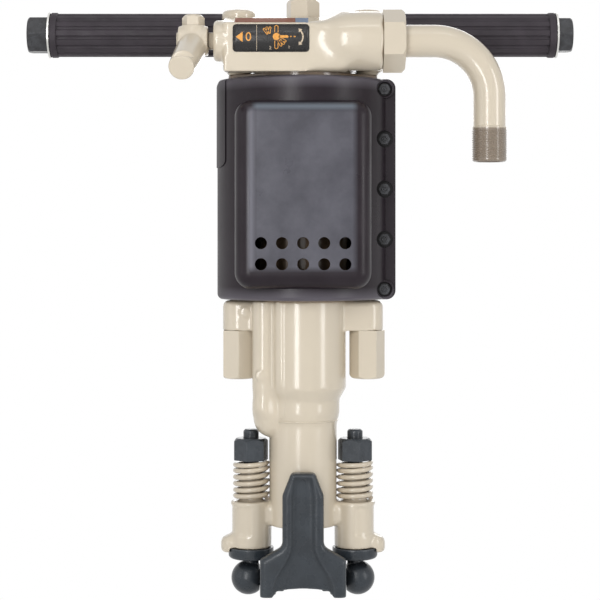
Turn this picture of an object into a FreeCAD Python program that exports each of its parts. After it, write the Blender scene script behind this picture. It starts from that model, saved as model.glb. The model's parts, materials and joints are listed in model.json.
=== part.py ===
import FreeCAD
import Part
import math
import os

# A hand-held pneumatic rock drill of the 25 kg class, standing on its chuck.
# Millimetres. The drill axis is Z, with the chuck mouth at the origin.
# X runs along the handles, with the air inlet on +X. The muffler panel faces -Y.

# Clearances shared by all pieces
cut_over = 2.0
running_gap = 0.25
seat_gap = 0.3
thread_gap = 0.1
hole_gap = 0.5
casting_gap = 1.0

# Front head: a stepped barrel around the chuck
nose_radius = 33.8
waist_radius = 36.5
head_radius = 43.0
nose_top = 100.0
waist_slope = 12.0
waist_height = 13.0
waist_bottom = nose_top + waist_slope
waist_top = waist_bottom + waist_height
head_bottom = waist_top + waist_slope
head_length = 87.0
head_top = head_bottom + head_length

# Front head: lugs for the two side rods
side_rod_x = 64.0
head_ear_radius = 16.0
head_ear_height = 30.0
head_ear_bottom = head_top - head_ear_height
head_ear_rounding = 6.0

# Front head: lobe and ridge of the air passages, and two cast bosses
lobe_x = -30.0
lobe_y = -11.0
lobe_radius = 19.5
lobe_bottom = 88.0
passage_x = -38.3
passage_y = -20.5
passage_radius = 12.0
ridge_x = -23.0
ridge_y = -35.5
ridge_radius = 4.5
blind_boss_radius = 5.0
blind_boss_height = 1.5
lobe_boss_x = -42.0
lobe_boss_z = 151.0
ear_boss_x = -57.5
ear_boss_drop = 11.5

# Front head: guides of the retainer bolts
retainer_bolt_offset = 18.1
retainer_bolt_x = nose_radius + retainer_bolt_offset
guide_radius = 20.5
guide_bottom = -22.0
guide_top = 24.0
guide_core_radius = 11.5
guide_core_height = 31.0
guide_core_top = guide_top + guide_core_height
guide_rounding = 2.0
web_half_width = 15.0
web_top = 22.0
web_rounding = 6.0
foot_lobe_reach = 17.6
foot_lobe_x = retainer_bolt_x + foot_lobe_reach
foot_lobe_radius = 12.5
foot_lobe_tip_radius = 4.0
foot_lobe_drop = 5.5
foot_lobe_height = 11.0
foot_lobe_slope = 19.0
foot_lobe_rounding = 4.0
foot_lobe_bottom = guide_bottom - foot_lobe_drop

# Bearing of the piston stem
bearing_length = 38.0
bearing_bottom = head_top - bearing_length
bearing_radius = 36.0
bearing_groove_depth = 1.2
bearing_groove_height = 4.0

# Chuck with its hexagonal bore, and the driver that turns it
chuck_radius = 27.0
chuck_top = 108.0
chuck_collar_radius = 30.0
chuck_collar_height = 6.0
chuck_collar_bottom = chuck_top - chuck_collar_height
chuck_hex_flats = 22.6
chuck_mouth_radius = 15.0
chuck_mouth_depth = 4.0
driver_end_gap = 2.0
driver_top = bearing_bottom - driver_end_gap
driver_spline_start = 14.0
driver_spline_bottom = chuck_top + driver_spline_start
driver_dog_depth = 4.0
driver_dog_half_width = 6.0
spline_count = 8
spline_depth = 2.2
spline_half_width = 2.4

# Valve gear above the piston: chest, cover and ratchet, stacked down from the cylinder's top
cylinder_length = 224.0
cylinder_top = head_top + cylinder_length
ratchet_drop = 10.0
ratchet_height = 20.0
ratchet_top = cylinder_top - ratchet_drop
ratchet_bottom = ratchet_top - ratchet_height
valve_cover_height = 10.0
chest_top = ratchet_bottom - valve_cover_height
chest_height = 13.0
chamber_bottom = chest_top - chest_height
chest_hole_radius = 12.2
valve_outer_radius = 27.0
valve_ring_width = 9.0
valve_inner_radius = valve_outer_radius - valve_ring_width
valve_thickness = 4.0
valve_shift = 1.5
valve_port_radius = 2.5
valve_port_count = 8

# Cylinder casting
bore_radius = 33.35
cylinder_radius = 46.0
cylinder_foot_radius = 49.5
cylinder_foot_height = 12.0
cylinder_foot_top = head_top + cylinder_foot_height
cylinder_rim_radius = 52.0
cylinder_rim_height = 14.0
cylinder_rim_bottom = cylinder_top - cylinder_rim_height
cylinder_ear_radius = 10.5
chamber_radius = 38.0
exhaust_half_width = 13.0
exhaust_start = 76.0
exhaust_height = 22.0
exhaust_bottom = head_top + exhaust_start
exhaust_top = exhaust_bottom + exhaust_height
exhaust_lip = 6.0

# Piston
piston_stroke = 60.0
piston_seat_gap = 3.0
piston_head_bottom = head_top + piston_seat_gap
piston_head_length = 64.0
piston_head_top = piston_head_bottom + piston_head_length
stem_radius = 17.0
stem_end_gap = 2.0
piston_bottom = chuck_top + stem_end_gap
piston_chamfer = 2.0
piston_groove_depth = 1.0
piston_groove_height = 2.0
piston_groove_pitch = 12.0
piston_groove_count = 3
flute_end = 5.0
flute_top = piston_head_bottom - flute_end

# Rifle bar and nut: helical splines that turn the drill steel
rifle_turn_per_stroke = math.pi / 8
rifle_radius = 11.5
rifle_root_radius = 9.3
rifle_spline_count = 6
rifle_tooth_share = 0.42
rifle_groove_share = 0.50
rifle_start = 19.0
rifle_bottom = piston_head_bottom + rifle_start
rifle_nut_length = 32.0
rifle_nut_bottom = piston_head_top - rifle_nut_length
rifle_nut_radius = 18.0
rifle_nut_flange_radius = 22.0
rifle_nut_flange_height = 5.0
rifle_neck_length = 24.0
rifle_step = 11.0

# Ratchet teeth and pawls
ratchet_teeth = 16
ratchet_tip_radius = 27.0
ratchet_root_radius = 30.0
ratchet_face_angle = 22.2
rifle_head_radius = 25.6
pawl_count = 4
pawl_pivot_radius = 20.0
pawl_length = 11.0
pawl_half_width = 2.5
pawl_heel_radius = 3.2
pawl_plunger_radius = 1.8
pawl_plunger_place = 8.0
pawl_plunger_start = 11.0
pawl_spring_start = 8.5

# Backhead casting: flange, body with a deck that slopes to the front, and bosses
clamp_gap = 3.0
flange_bottom = cylinder_top + clamp_gap
flange_height = 13.5
flange_top = flange_bottom + flange_height
flange_radius = 54.0
flange_ear_radius = 16.0
flange_rounding = 4.0
clamp_pad_radius = 48.5
clamp_ear_pad_radius = 11.0
deck_rise = 39.5
deck_height = flange_top + deck_rise
deck_slope_drop = 10.0
deck_front_rounding = 1.8
body_corner_rounding = 5.0
block_left = -78.0
block_right = 44.0
block_front = -62.0
block_rear = 22.0
plug_boss_radius = 23.0
throttle_y = -42.0
throttle_drop = 26.0
throttle_z = deck_height - throttle_drop
throttle_boss_radius = 20.0
throttle_boss_end = -87.0
throttle_boss_chamfer = 2.0
inlet_cone_start = 17.0
inlet_boss_start = 38.0
inlet_boss_end = 77.5
inlet_boss_radius = 28.7
inlet_boss_rounding = 3.0
inlet_bore_radius = 13.0
handle_y = 35.0
handle_drop = 11.3
handle_z = deck_height - handle_drop
handle_boss_radius = 17.0
handle_boss_end = 82.0
saddle_half_width = 56.0
saddle_rise = 5.5
saddle_bottom = flange_top + saddle_rise
feed_radius = 7.0
feed_y = -21.0

# Blow tube on the drill axis
blow_tube_radius = 3.5
blow_tube_bore = 2.3
blow_tube_start = 8.0
blow_tube_bottom = piston_bottom + blow_tube_start
blow_tube_drop = 7.0
blow_tube_top = deck_height - blow_tube_drop
blow_tube_head_radius = 6.0
blow_tube_head_height = 4.0
blow_gasket_height = 2.0

# Side rods with domed heads, and their long cap nuts
side_rod_radius = 7.5
side_rod_head_radius = 17.0
side_rod_head_height = 9.0
side_rod_head_rounding = 5.0
side_nut_flats = 30.5
side_nut_length = 48.2
side_nut_cap = 6.0
side_nut_bottom = head_ear_bottom - side_nut_length
side_rod_bottom = side_nut_bottom + side_nut_cap
side_nut_rounding = 5.0

# Plug on top of the backhead
plug_flats = 29.4
plug_turn = -15.0
plug_height = 19.6
plug_thread_radius = 12.0
plug_thread_depth = 6.0
plug_chamfer = 3.0

# Throttle valve, lever and clamp bolt
throttle_radius = 14.7
throttle_valve_end = -9.0
throttle_stem_radius = 8.5
throttle_stem_end = -123.0
throttle_bore_radius = 10.0
throttle_bore_depth = 42.0
lever_x = -107.0
lever_half_length = 14.5
lever_hub_radius = 14.5
lever_crown_radius = 11.5
lever_crown_rise = 15.0
lever_crown_top = throttle_z + lever_crown_rise
lever_tip_x = -114.5
lever_tip_y = -106.0
lever_tip_drop = 32.0
lever_tip_z = throttle_z - lever_tip_drop
lever_root_radius = 14.8
lever_tip_radius = 12.3
lever_tip_chamfer = 1.5
lever_flat_depth = 2.2
lever_web_x = -99.0
lever_web_y = -46.0
lever_web_drop = 8.0
lever_web_radius = 8.0
lever_web_share = 0.55
lever_bolt_radius = 4.0
lever_bolt_head_flats = 19.0
lever_bolt_head_height = 10.4
lever_bolt_chamfer = 3.0
lever_bolt_head_top = lever_crown_top + lever_bolt_head_height

# Detent plunger that holds the throttle at its positions
detent_x = -46.0
throttle_cover_wall = 4.0
throttle_port_x = -27.0
detent_radius = 4.0
detent_length = 12.0
detent_travel = 1.2
detent_bore_end = -1.0
throttle_swing = 85.0

# Air inlet: swivel nut, seal, screen and bent pipe
spigot_radius = 24.0
spigot_length = 14.0
spigot_end = inlet_boss_end + spigot_length
swivel_nut_flats = 53.5
swivel_nut_length = 21.6
swivel_nut_end = inlet_boss_end + swivel_nut_length
swivel_nut_chamfer = 3.0
swivel_lip = 3.6
swivel_lip_start = swivel_nut_end - swivel_lip
seal_thickness = 0.6
pipe_radius = 15.8
pipe_thread_radius = 16.7
pipe_thread_length = 34.4
pipe_bore_radius = 13.3
pipe_flange_radius = 22.0
pipe_flange_start = spigot_end + seal_thickness + running_gap
pipe_flange_end = swivel_lip_start - running_gap
pipe_bend_start = 127.7
pipe_bend_radius = 54.0
pipe_leg_x = pipe_bend_start + pipe_bend_radius
pipe_drop = 117.6
pipe_end_z = throttle_z - pipe_drop
pipe_end_chamfer = 1.5
screen_start = 56.0
screen_radius = 12.6
screen_wall = 1.0
screen_slot_count = 6
screen_slot_half_width = 1.5
screen_slot_length = 16.0

# Handle: one long bolt that carries both rubber grips
handle_bolt_radius = 9.5
grip_radius = 21.9
grip_end = 249.0
grip_flange_radius = 22.9
grip_flange_length = 7.7
grip_flange_end = grip_end + grip_flange_length
grip_rib_count = 14
grip_groove_radius = 2.4
grip_groove_depth = 1.7
grip_tube_radius = 13.5
grip_tube_gap = 0.4
grip_washer_radius = 23.2
grip_washer_thickness = 2.0
handle_head_flats = 33.0
handle_head_length = 15.0
handle_nut_flats = 34.5
handle_nut_length = 20.8
handle_nut_chamfer = 2.5

# Muffler: two moulded shells around the cylinder, clear of the side rods
muffler_bottom = head_top + casting_gap
muffler_top_drop = 4.0
muffler_top = cylinder_top - muffler_top_drop
muffler_rod_margin = 26.0
muffler_arc_radius = side_rod_x + muffler_rod_margin
muffler_arc_offset = 28.0
muffler_wall = 4.0
muffler_left_corner = 6.0
muffler_flange_margin = 28.0
muffler_flange_x = side_rod_x + muffler_flange_margin
muffler_flange_width = 19.5
muffler_flange_inner_x = muffler_flange_x - muffler_flange_width
muffler_flange_half_depth = 9.0
muffler_flange_corner = 9.0
muffler_bolt_inset = 11.0
muffler_bolt_x = muffler_flange_x - muffler_bolt_inset
muffler_bolt_radius = 3.6
muffler_bolt_end_inset = 10.0
muffler_bolt_count = 5
muffler_pocket_radius = 8.5
muffler_pocket_floor = 5.0
muffler_bolt_head_flats = 10.0
muffler_bolt_head_height = 5.5
muffler_bolt_flange_radius = 6.2
muffler_bolt_flange_height = 1.6
muffler_nut_flats = 11.0
muffler_nut_height = 6.5
muffler_land_height = 0.8
muffler_land_inset = 13.0
muffler_land_length = 88.0
muffler_land_corner = 8.0

# Muffler: the vented panel
panel_half_width = 66.0
panel_start = 12.0
panel_end = 25.0
panel_bottom = muffler_bottom + panel_start
panel_top = muffler_top - panel_end
panel_front = -74.0
panel_rear = -24.0
panel_corner = 16.0
panel_shoulder = 15.0
vent_radius = 5.8
vent_pitch_x = 20.2
vent_start = 24.1
vent_rows_z = panel_bottom + vent_start
vent_pitch_z = 20.2
vent_columns = 5
vent_rows = 2

# Retainer bolts: an eye below the guide, a spring and a nut above it
spring_length = 40.3
spring_wire_radius = 2.1
spring_coil_radius = 15.75
spring_turns = 6
spring_end_pitch = 4.9
retainer_nut_flats = 30.5
retainer_nut_height = 22.0
retainer_nut_turn = 13.0
retainer_nut_bottom = guide_top + spring_length
retainer_nut_top = retainer_nut_bottom + retainer_nut_height
retainer_nut_chamfer = 3.2
retainer_shank_radius = 7.75
retainer_shank_rise = 9.0
retainer_shank_top = retainer_nut_top + retainer_shank_rise
retainer_shank_chamfer = 2.0
retainer_collar_radius = 22.5
retainer_collar_height = 11.0
retainer_collar_rounding = 3.5
retainer_eye_radius = 17.0
retainer_eye_offset = 2.7
retainer_eye_x = retainer_bolt_x + retainer_eye_offset
retainer_eye_cut = 8.6
retainer_eye_inner_x = retainer_bolt_x - retainer_eye_cut

# Retainer: a forged yoke that swings on stub trunnions
trunnion_drop = 31.0
trunnion_z = guide_bottom - trunnion_drop
trunnion_radius = 8.0
trunnion_reach = 12.0
trunnion_end = retainer_bolt_x + trunnion_reach
yoke_front = -50.0
yoke_rear = -36.0
yoke_top = 57.0
yoke_top_half_width = 11.6
yoke_shoulder_z = 35.0
yoke_column_half_width = 20.2
yoke_neck_z = -14.8
yoke_flare_radius = 8.0
yoke_side_gap = 1.3
yoke_base_half_width = retainer_eye_inner_x - yoke_side_gap
yoke_base_top = -27.4
yoke_foot_drop = 10.5
yoke_bottom = trunnion_z - yoke_foot_drop
yoke_foot_inner_x = 30.2
yoke_foot_slope_x = 25.3
yoke_foot_height = 6.0
yoke_arch_rise = 2.4
yoke_corner_rounding = 4.0
yoke_edge_rounding = 5.0
yoke_groove_depth = 3.2
yoke_groove_slope = 3.6
yoke_groove_top = 51.0
yoke_groove_top_half_width = 6.0
yoke_groove_half_width = 8.6
yoke_groove_neck_z = -10.0
yoke_groove_bend_half_width = 13.0
yoke_groove_bend_z = -27.0
yoke_groove_foot_half_width = 22.0
yoke_groove_foot_z = -42.0
yoke_groove_base_half_width = 25.5
cheek_inner_x = 28.5
cheek_radius = 10.0
jaw_top = -36.0
jaw_bottom = -50.0
jaw_half_width = 28.3
jaw_rear = 25.0
jaw_slot_half_width = 14.5
jaw_slot_front = -24.0
jaw_wall_rear = 11.0
jaw_wall_inset = 4.0
jaw_wall_lift = 4.0

# Control plate on the front of the backhead
plate_left = -67.8
plate_right = 6.0
plate_drop = 12.5
plate_rise = 14.2
plate_bottom = throttle_z - plate_drop
plate_top = throttle_z + plate_rise
plate_thickness = 0.6
plate_corner = 3.5

ACROSS_X = FreeCAD.Vector(1, 0, 0)
ACROSS_Y = FreeCAD.Vector(0, 1, 0)
UPWARDS = FreeCAD.Vector(0, 0, 1)
DRILL_AXIS = FreeCAD.Vector(0, 0, 0)


def point(x, y, z):
    return FreeCAD.Vector(x, y, z)


def cylinder(radius, start, direction, length):
    return Part.makeCylinder(radius, length, start, direction)


def upright(radius, x, y, bottom, top):
    return cylinder(radius, point(x, y, bottom), UPWARDS, top - bottom)


def crosswise(radius, y, z, left, right):
    return cylinder(radius, point(left, y, z), ACROSS_X, right - left)


def lengthwise(radius, x, z, front, rear):
    return cylinder(radius, point(x, front, z), ACROSS_Y, rear - front)


def block(left, right, front, rear, bottom, top):
    return Part.makeBox(right - left, rear - front, top - bottom, point(left, front, bottom))


def sideways_axes(direction):
    """Two unit directions square to an axis."""
    if abs(direction.z) > abs(direction.x) + abs(direction.y):
        return ACROSS_X, ACROSS_Y
    if abs(direction.x) > abs(direction.y):
        return ACROSS_Y, UPWARDS
    return ACROSS_X, UPWARDS


def hexagon(flats, start, direction, length, turn=0.0):
    """A hexagonal bar measured across its flats."""
    first, second = sideways_axes(direction)
    corner_radius = flats / math.sqrt(3)
    corners = []
    for index in range(7):
        angle = math.radians(turn + 60.0 * index)
        corners.append(start + first * (corner_radius * math.cos(angle))
                       + second * (corner_radius * math.sin(angle)))
    return Part.Face(Part.makePolygon(corners)).extrude(direction * length)


def turned(outline, start, direction):
    """A solid of revolution from (radius, height) pairs along an axis."""
    first = sideways_axes(direction)[0]
    corners = [start + first * radius + direction * height for radius, height in outline]
    corners.append(corners[0])
    return Part.Face(Part.makePolygon(corners)).revolve(start, direction, 360.0)


def chamfered_hexagon(flats, start, direction, length, chamfer, turn=0.0, both=False):
    """A hexagonal bar whose far end, or both ends, is turned to a cone."""
    bar = hexagon(flats, start, direction, length, turn)
    corner_radius = flats / math.sqrt(3)
    outline = [(0.0, 0.0), (corner_radius, 0.0), (corner_radius, length - chamfer),
               (corner_radius - chamfer, length), (0.0, length)]
    if both:
        outline[1:2] = [(corner_radius - chamfer, 0.0), (corner_radius, chamfer)]
    return bar.common(turned(outline, start, direction))


def fused(shapes):
    whole = shapes[0]
    for shape in shapes[1:]:
        whole = whole.fuse(shape)
    return whole.removeSplitter()


def softened(shape, radius, chosen):
    """Round the edges that the test picks by their box."""
    edges = [edge for edge in shape.Edges if chosen(edge.BoundBox)]
    return shape.makeFillet(radius, edges)


def level_at(height, tolerance=0.01):
    """A test for edges that lie flat at one height."""
    def chosen(box):
        return abs(box.ZMin - height) < tolerance and abs(box.ZMax - height) < tolerance
    return chosen


def wheel_hull(middle_radius, side_x, side_radius, bottom, top):
    """The convex outline of a middle circle and one circle on either side."""
    normal_x = (middle_radius - side_radius) / side_x
    normal_y = math.sqrt(1.0 - normal_x * normal_x)
    side_px = side_x + side_radius * normal_x
    side_py = side_radius * normal_y
    middle_px = middle_radius * normal_x
    middle_py = middle_radius * normal_y
    right_end = side_x + side_radius
    edges = [
        Part.Arc(point(side_px, side_py, bottom), point(right_end, 0.0, bottom),
                 point(side_px, -side_py, bottom)).toShape(),
        Part.makeLine(point(side_px, -side_py, bottom), point(middle_px, -middle_py, bottom)),
        Part.Arc(point(middle_px, -middle_py, bottom), point(0.0, -middle_radius, bottom),
                 point(-middle_px, -middle_py, bottom)).toShape(),
        Part.makeLine(point(-middle_px, -middle_py, bottom), point(-side_px, -side_py, bottom)),
        Part.Arc(point(-side_px, -side_py, bottom), point(-right_end, 0.0, bottom),
                 point(-side_px, side_py, bottom)).toShape(),
        Part.makeLine(point(-side_px, side_py, bottom), point(-middle_px, middle_py, bottom)),
        Part.Arc(point(-middle_px, middle_py, bottom), point(0.0, middle_radius, bottom),
                 point(middle_px, middle_py, bottom)).toShape(),
        Part.makeLine(point(middle_px, middle_py, bottom), point(side_px, side_py, bottom)),
    ]
    return Part.Face(Part.Wire(edges)).extrude(UPWARDS * (top - bottom))


def mirrored(shape):
    """The same shape on the other side of the drill axis."""
    return shape.mirror(DRILL_AXIS, ACROSS_X)


def polar_point(radius, degrees, z):
    angle = math.radians(degrees)
    return point(radius * math.cos(angle), radius * math.sin(angle), z)


def around_axis(shape, degrees):
    copy = shape.copy()
    copy.rotate(DRILL_AXIS, UPWARDS, degrees)
    return copy


def save(name, shape):
    solids = shape.Solids
    if not shape.isValid() or not solids:
        raise ValueError(name + " is not a valid solid")
    shape.exportStep("parts/" + name + ".step")
    print(name, len(solids), "solid(s), volume", round(shape.Volume))


def head_ear():
    """The lug on +X that takes a side rod."""
    ear = fused([
        upright(head_ear_radius, side_rod_x, 0.0, head_ear_bottom, head_top),
        block(0.0, side_rod_x, -head_ear_radius, head_ear_radius, head_ear_bottom, head_top),
    ])

    def outer_rim(box):
        return level_at(head_top)(box) and box.XMax > side_rod_x - head_ear_radius
    return softened(ear, head_ear_rounding, outer_rim)


def foot_lobe():
    """The skirt that widens outwards at the foot of the guide on +X, clear of the collar."""
    skirt_bottom = foot_lobe_bottom + foot_lobe_height
    skirt = upright(foot_lobe_radius, foot_lobe_x, 0.0, foot_lobe_bottom, skirt_bottom)
    slope = Part.makeCone(foot_lobe_radius, foot_lobe_tip_radius, foot_lobe_slope,
                          point(foot_lobe_x, 0.0, skirt_bottom), UPWARDS)
    lobe = softened(fused([skirt, slope]), foot_lobe_rounding, level_at(foot_lobe_bottom))
    collar_room = upright(retainer_collar_radius + casting_gap, retainer_bolt_x, 0.0,
                          foot_lobe_bottom - cut_over, guide_bottom)
    return lobe.cut(collar_room)


def guide_outside():
    """The outside of the retainer bolt guide on +X, with its foot lobe."""
    barrel = upright(guide_radius, retainer_bolt_x, 0.0, guide_bottom, guide_top)
    barrel = softened(barrel, guide_rounding, level_at(guide_top))
    core = upright(guide_core_radius, retainer_bolt_x, 0.0, guide_top, guide_core_top)
    web = block(0.0, retainer_bolt_x, -web_half_width, web_half_width, 0.0, web_top)

    def lengthwise_edge(box):
        along = box.XLength > retainer_bolt_x / 2
        return along and box.ZLength < web_rounding
    web = softened(web, web_rounding, lengthwise_edge)
    return fused([barrel, core, foot_lobe(), web])


def cast_boss(x, z, surface_y):
    """A shallow round boss on the front of the casting."""
    return lengthwise(blind_boss_radius, x, z, surface_y - blind_boss_height, surface_y + blind_boss_radius)


def air_passages():
    """The cast lobes on the front left of the head that carry the air down to the chuck."""
    shoulder = lobe_bottom + lobe_radius
    lower = upright(lobe_radius, lobe_x, lobe_y, shoulder, head_bottom)
    end = Part.makeSphere(lobe_radius, point(lobe_x, lobe_y, shoulder))
    crown = Part.makeCone(lobe_radius, passage_radius, lobe_radius - passage_radius,
                          point(lobe_x, lobe_y, head_bottom), UPWARDS)
    upper = upright(passage_radius, passage_x, passage_y, shoulder, head_top)
    ridge = upright(ridge_radius, ridge_x, ridge_y, shoulder, head_top)
    reach = (lobe_boss_x - passage_x) / passage_radius
    boss = cast_boss(lobe_boss_x, lobe_boss_z, passage_y - passage_radius * math.sqrt(1 - reach ** 2))
    ear_boss = cast_boss(ear_boss_x, head_top - ear_boss_drop, -head_ear_radius)
    return [lower, end, crown, upper, ridge, boss, ear_boss]


def front_head():
    outside = turned([
        (0.0, 0.0), (nose_radius, 0.0), (nose_radius, nose_top), (waist_radius, waist_bottom),
        (waist_radius, waist_top), (head_radius, head_bottom), (head_radius, head_top), (0.0, head_top),
    ], DRILL_AXIS, UPWARDS)
    ear = head_ear()
    guide = guide_outside()
    casting = fused([outside, ear, mirrored(ear), guide, mirrored(guide)] + air_passages())
    chuck_room = upright(chuck_radius + running_gap, 0.0, 0.0, -cut_over, chuck_collar_bottom)
    driver_room = upright(chuck_collar_radius + running_gap, 0.0, 0.0, chuck_collar_bottom - seat_gap,
                          bearing_bottom)
    bearing_room = upright(bearing_radius + thread_gap, 0.0, 0.0, bearing_bottom, head_top + cut_over)
    casting = casting.cut(fused([chuck_room, driver_room, bearing_room]))
    for side in (-1, 1):
        rod_hole = upright(side_rod_radius + hole_gap, side * side_rod_x, 0.0,
                           head_ear_bottom - cut_over, head_top + cut_over)
        nut_room = upright(side_nut_flats / math.sqrt(3) + casting_gap, side * side_rod_x, 0.0,
                           side_nut_bottom - casting_gap, head_ear_bottom)
        bolt_hole = upright(retainer_shank_radius + running_gap, side * retainer_bolt_x, 0.0,
                            guide_bottom - cut_over, guide_core_top + cut_over)
        casting = casting.cut(rod_hole).cut(nut_room).cut(bolt_hole)
    return casting


def dog_bar(gap, top):
    """The bar that fills both dog slots across the chuck's top, less a gap on each face."""
    reach = chuck_collar_radius + cut_over
    half = driver_dog_half_width - gap
    return block(-reach, reach, -half, half, chuck_top - driver_dog_depth + gap, top)


def chuck():
    outside = turned([
        (0.0, 0.0), (chuck_radius, 0.0), (chuck_radius, chuck_collar_bottom),
        (chuck_collar_radius, chuck_collar_bottom), (chuck_collar_radius, chuck_top), (0.0, chuck_top),
    ], DRILL_AXIS, UPWARDS)
    bore = hexagon(chuck_hex_flats, point(0.0, 0.0, -cut_over), UPWARDS, chuck_top + 2 * cut_over, 30.0)
    throat = chuck_hex_flats / 2
    mouth = turned([(0.0, 0.0), (chuck_mouth_radius, 0.0), (throat, chuck_mouth_depth),
                    (0.0, chuck_mouth_depth)], DRILL_AXIS, UPWARDS)
    return outside.cut(bore).cut(mouth).cut(dog_bar(0.0, chuck_top + cut_over))


def spline_bars(inner_radius, outer_radius, half_width, bottom, top):
    """Straight bars spaced evenly round the axis."""
    bar = block(inner_radius, outer_radius, -half_width, half_width, bottom, top)
    return [around_axis(bar, 360.0 * index / spline_count) for index in range(spline_count)]


def chuck_driver():
    """Sleeve whose inner splines hold the piston's flutes."""
    sleeve = upright(chuck_collar_radius, 0.0, 0.0, chuck_top, driver_top)
    dogs = dog_bar(thread_gap, driver_spline_bottom).common(upright(chuck_collar_radius, 0.0, 0.0, 0.0,
                                                                    driver_top))
    bore = upright(stem_radius + running_gap, 0.0, 0.0, 0.0, driver_top + cut_over)
    body = sleeve.fuse(dogs).cut(bore)
    tips = stem_radius - spline_depth + running_gap
    ribs = spline_bars(tips, stem_radius + cut_over, spline_half_width - running_gap,
                       driver_spline_bottom, driver_top)
    return fused([body] + ribs)


def stem_bearing():
    outside = upright(bearing_radius, 0.0, 0.0, bearing_bottom, head_top)
    bore = upright(stem_radius + running_gap, 0.0, 0.0, bearing_bottom - cut_over, head_top + cut_over)
    middle = (bearing_bottom + head_top) / 2
    groove = turned([
        (bearing_radius - bearing_groove_depth, 0.0), (bearing_radius + cut_over, 0.0),
        (bearing_radius + cut_over, bearing_groove_height),
        (bearing_radius - bearing_groove_depth, bearing_groove_height),
    ], point(0.0, 0.0, middle), UPWARDS)
    return outside.cut(bore).cut(groove)


def cylinder_casting():
    barrel = upright(cylinder_radius, 0.0, 0.0, head_top, cylinder_top)
    foot = upright(cylinder_foot_radius, 0.0, 0.0, head_top, cylinder_foot_top)
    rim = wheel_hull(cylinder_rim_radius, side_rod_x, cylinder_ear_radius, cylinder_rim_bottom, cylinder_top)
    port_outer = block(0.0, cylinder_radius + exhaust_lip, -exhaust_half_width - exhaust_lip / 2,
                       exhaust_half_width + exhaust_lip / 2, exhaust_bottom - exhaust_lip / 2,
                       exhaust_top + exhaust_lip / 2)
    casting = fused([barrel, foot, rim, port_outer])
    bore = upright(bore_radius, 0.0, 0.0, head_top - cut_over, cylinder_top + cut_over)
    chamber = upright(chamber_radius, 0.0, 0.0, chamber_bottom, cylinder_top + cut_over)
    port = block(0.0, cylinder_radius + exhaust_lip + cut_over, -exhaust_half_width, exhaust_half_width,
                 exhaust_bottom, exhaust_top)
    casting = casting.cut(bore).cut(chamber).cut(port)
    for side in (-1, 1):
        casting = casting.cut(upright(side_rod_radius + hole_gap, side * side_rod_x, 0.0,
                                      cylinder_rim_bottom - cut_over, cylinder_top + cut_over))
    return casting


def piston():
    head_radius_running = bore_radius - running_gap
    groove_floor = head_radius_running - piston_groove_depth
    outline = [(0.0, piston_bottom), (stem_radius, piston_bottom), (stem_radius, piston_head_bottom),
               (head_radius_running - piston_chamfer, piston_head_bottom),
               (head_radius_running, piston_head_bottom + piston_chamfer)]
    for index in range(piston_groove_count):
        low = piston_head_bottom + piston_groove_pitch * (index + 1)
        high = low + piston_groove_height
        outline += [(head_radius_running, low), (groove_floor, low), (groove_floor, high),
                    (head_radius_running, high)]
    outline += [(head_radius_running, piston_head_top - piston_chamfer),
                (head_radius_running - piston_chamfer, piston_head_top), (0.0, piston_head_top)]
    solid = turned(outline, DRILL_AXIS, UPWARDS)
    bar_room_bottom = rifle_bottom - piston_stroke - running_gap - casting_gap
    bar_room = upright(rifle_radius + hole_gap, 0.0, 0.0, bar_room_bottom, piston_head_top + cut_over)
    tube_room = upright(blow_tube_radius + hole_gap, 0.0, 0.0, piston_bottom - cut_over, piston_head_top)
    nut_room = upright(rifle_nut_radius, 0.0, 0.0, rifle_nut_bottom, piston_head_top + cut_over)
    nut_flange_room = upright(rifle_nut_flange_radius, 0.0, 0.0, piston_head_top - rifle_nut_flange_height,
                              piston_head_top + cut_over)
    solid = solid.cut(fused([bar_room, tube_room, nut_room, nut_flange_room]))
    flutes = spline_bars(stem_radius - spline_depth, stem_radius + cut_over, spline_half_width,
                         piston_bottom - cut_over, flute_top)
    for flute in flutes:
        solid = solid.cut(flute)
    return solid


def rifle_angle(height):
    """How far the helical splines have turned at a height, in degrees."""
    return math.degrees(rifle_turn_per_stroke) * height / piston_stroke


def helical_star(root_radius, tip_radius, tooth_share, bottom, top):
    """A star-shaped bar whose teeth follow the rifle helix."""
    pitch = 360.0 / rifle_spline_count
    sections = max(2, round((top - bottom) / rifle_step) + 1)
    wires = []
    for section in range(sections):
        height = bottom + (top - bottom) * section / (sections - 1)
        corners = []
        for index in range(rifle_spline_count):
            centre = rifle_angle(height) + pitch * index
            half = pitch * tooth_share / 2
            corners.append(polar_point(root_radius, centre - pitch / 2, height))
            corners.append(polar_point(root_radius, centre - half, height))
            corners.append(polar_point(tip_radius, centre - half, height))
            corners.append(polar_point(tip_radius, centre + half, height))
            corners.append(polar_point(root_radius, centre + half, height))
        corners.append(corners[0])
        wires.append(Part.makePolygon(corners))
    return Part.makeLoft(wires, True, True)


def rifle_nut():
    barrel = upright(rifle_nut_radius - thread_gap, 0.0, 0.0, rifle_nut_bottom, piston_head_top)
    flange = upright(rifle_nut_flange_radius - thread_gap, 0.0, 0.0,
                     piston_head_top - rifle_nut_flange_height, piston_head_top)
    grooves = helical_star(rifle_root_radius + running_gap * 2, rifle_radius + running_gap,
                           rifle_groove_share, rifle_nut_bottom - cut_over, piston_head_top + cut_over)
    return fused([barrel, flange]).cut(grooves)


def rifle_neck_bottom():
    return ratchet_bottom - rifle_neck_length


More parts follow.
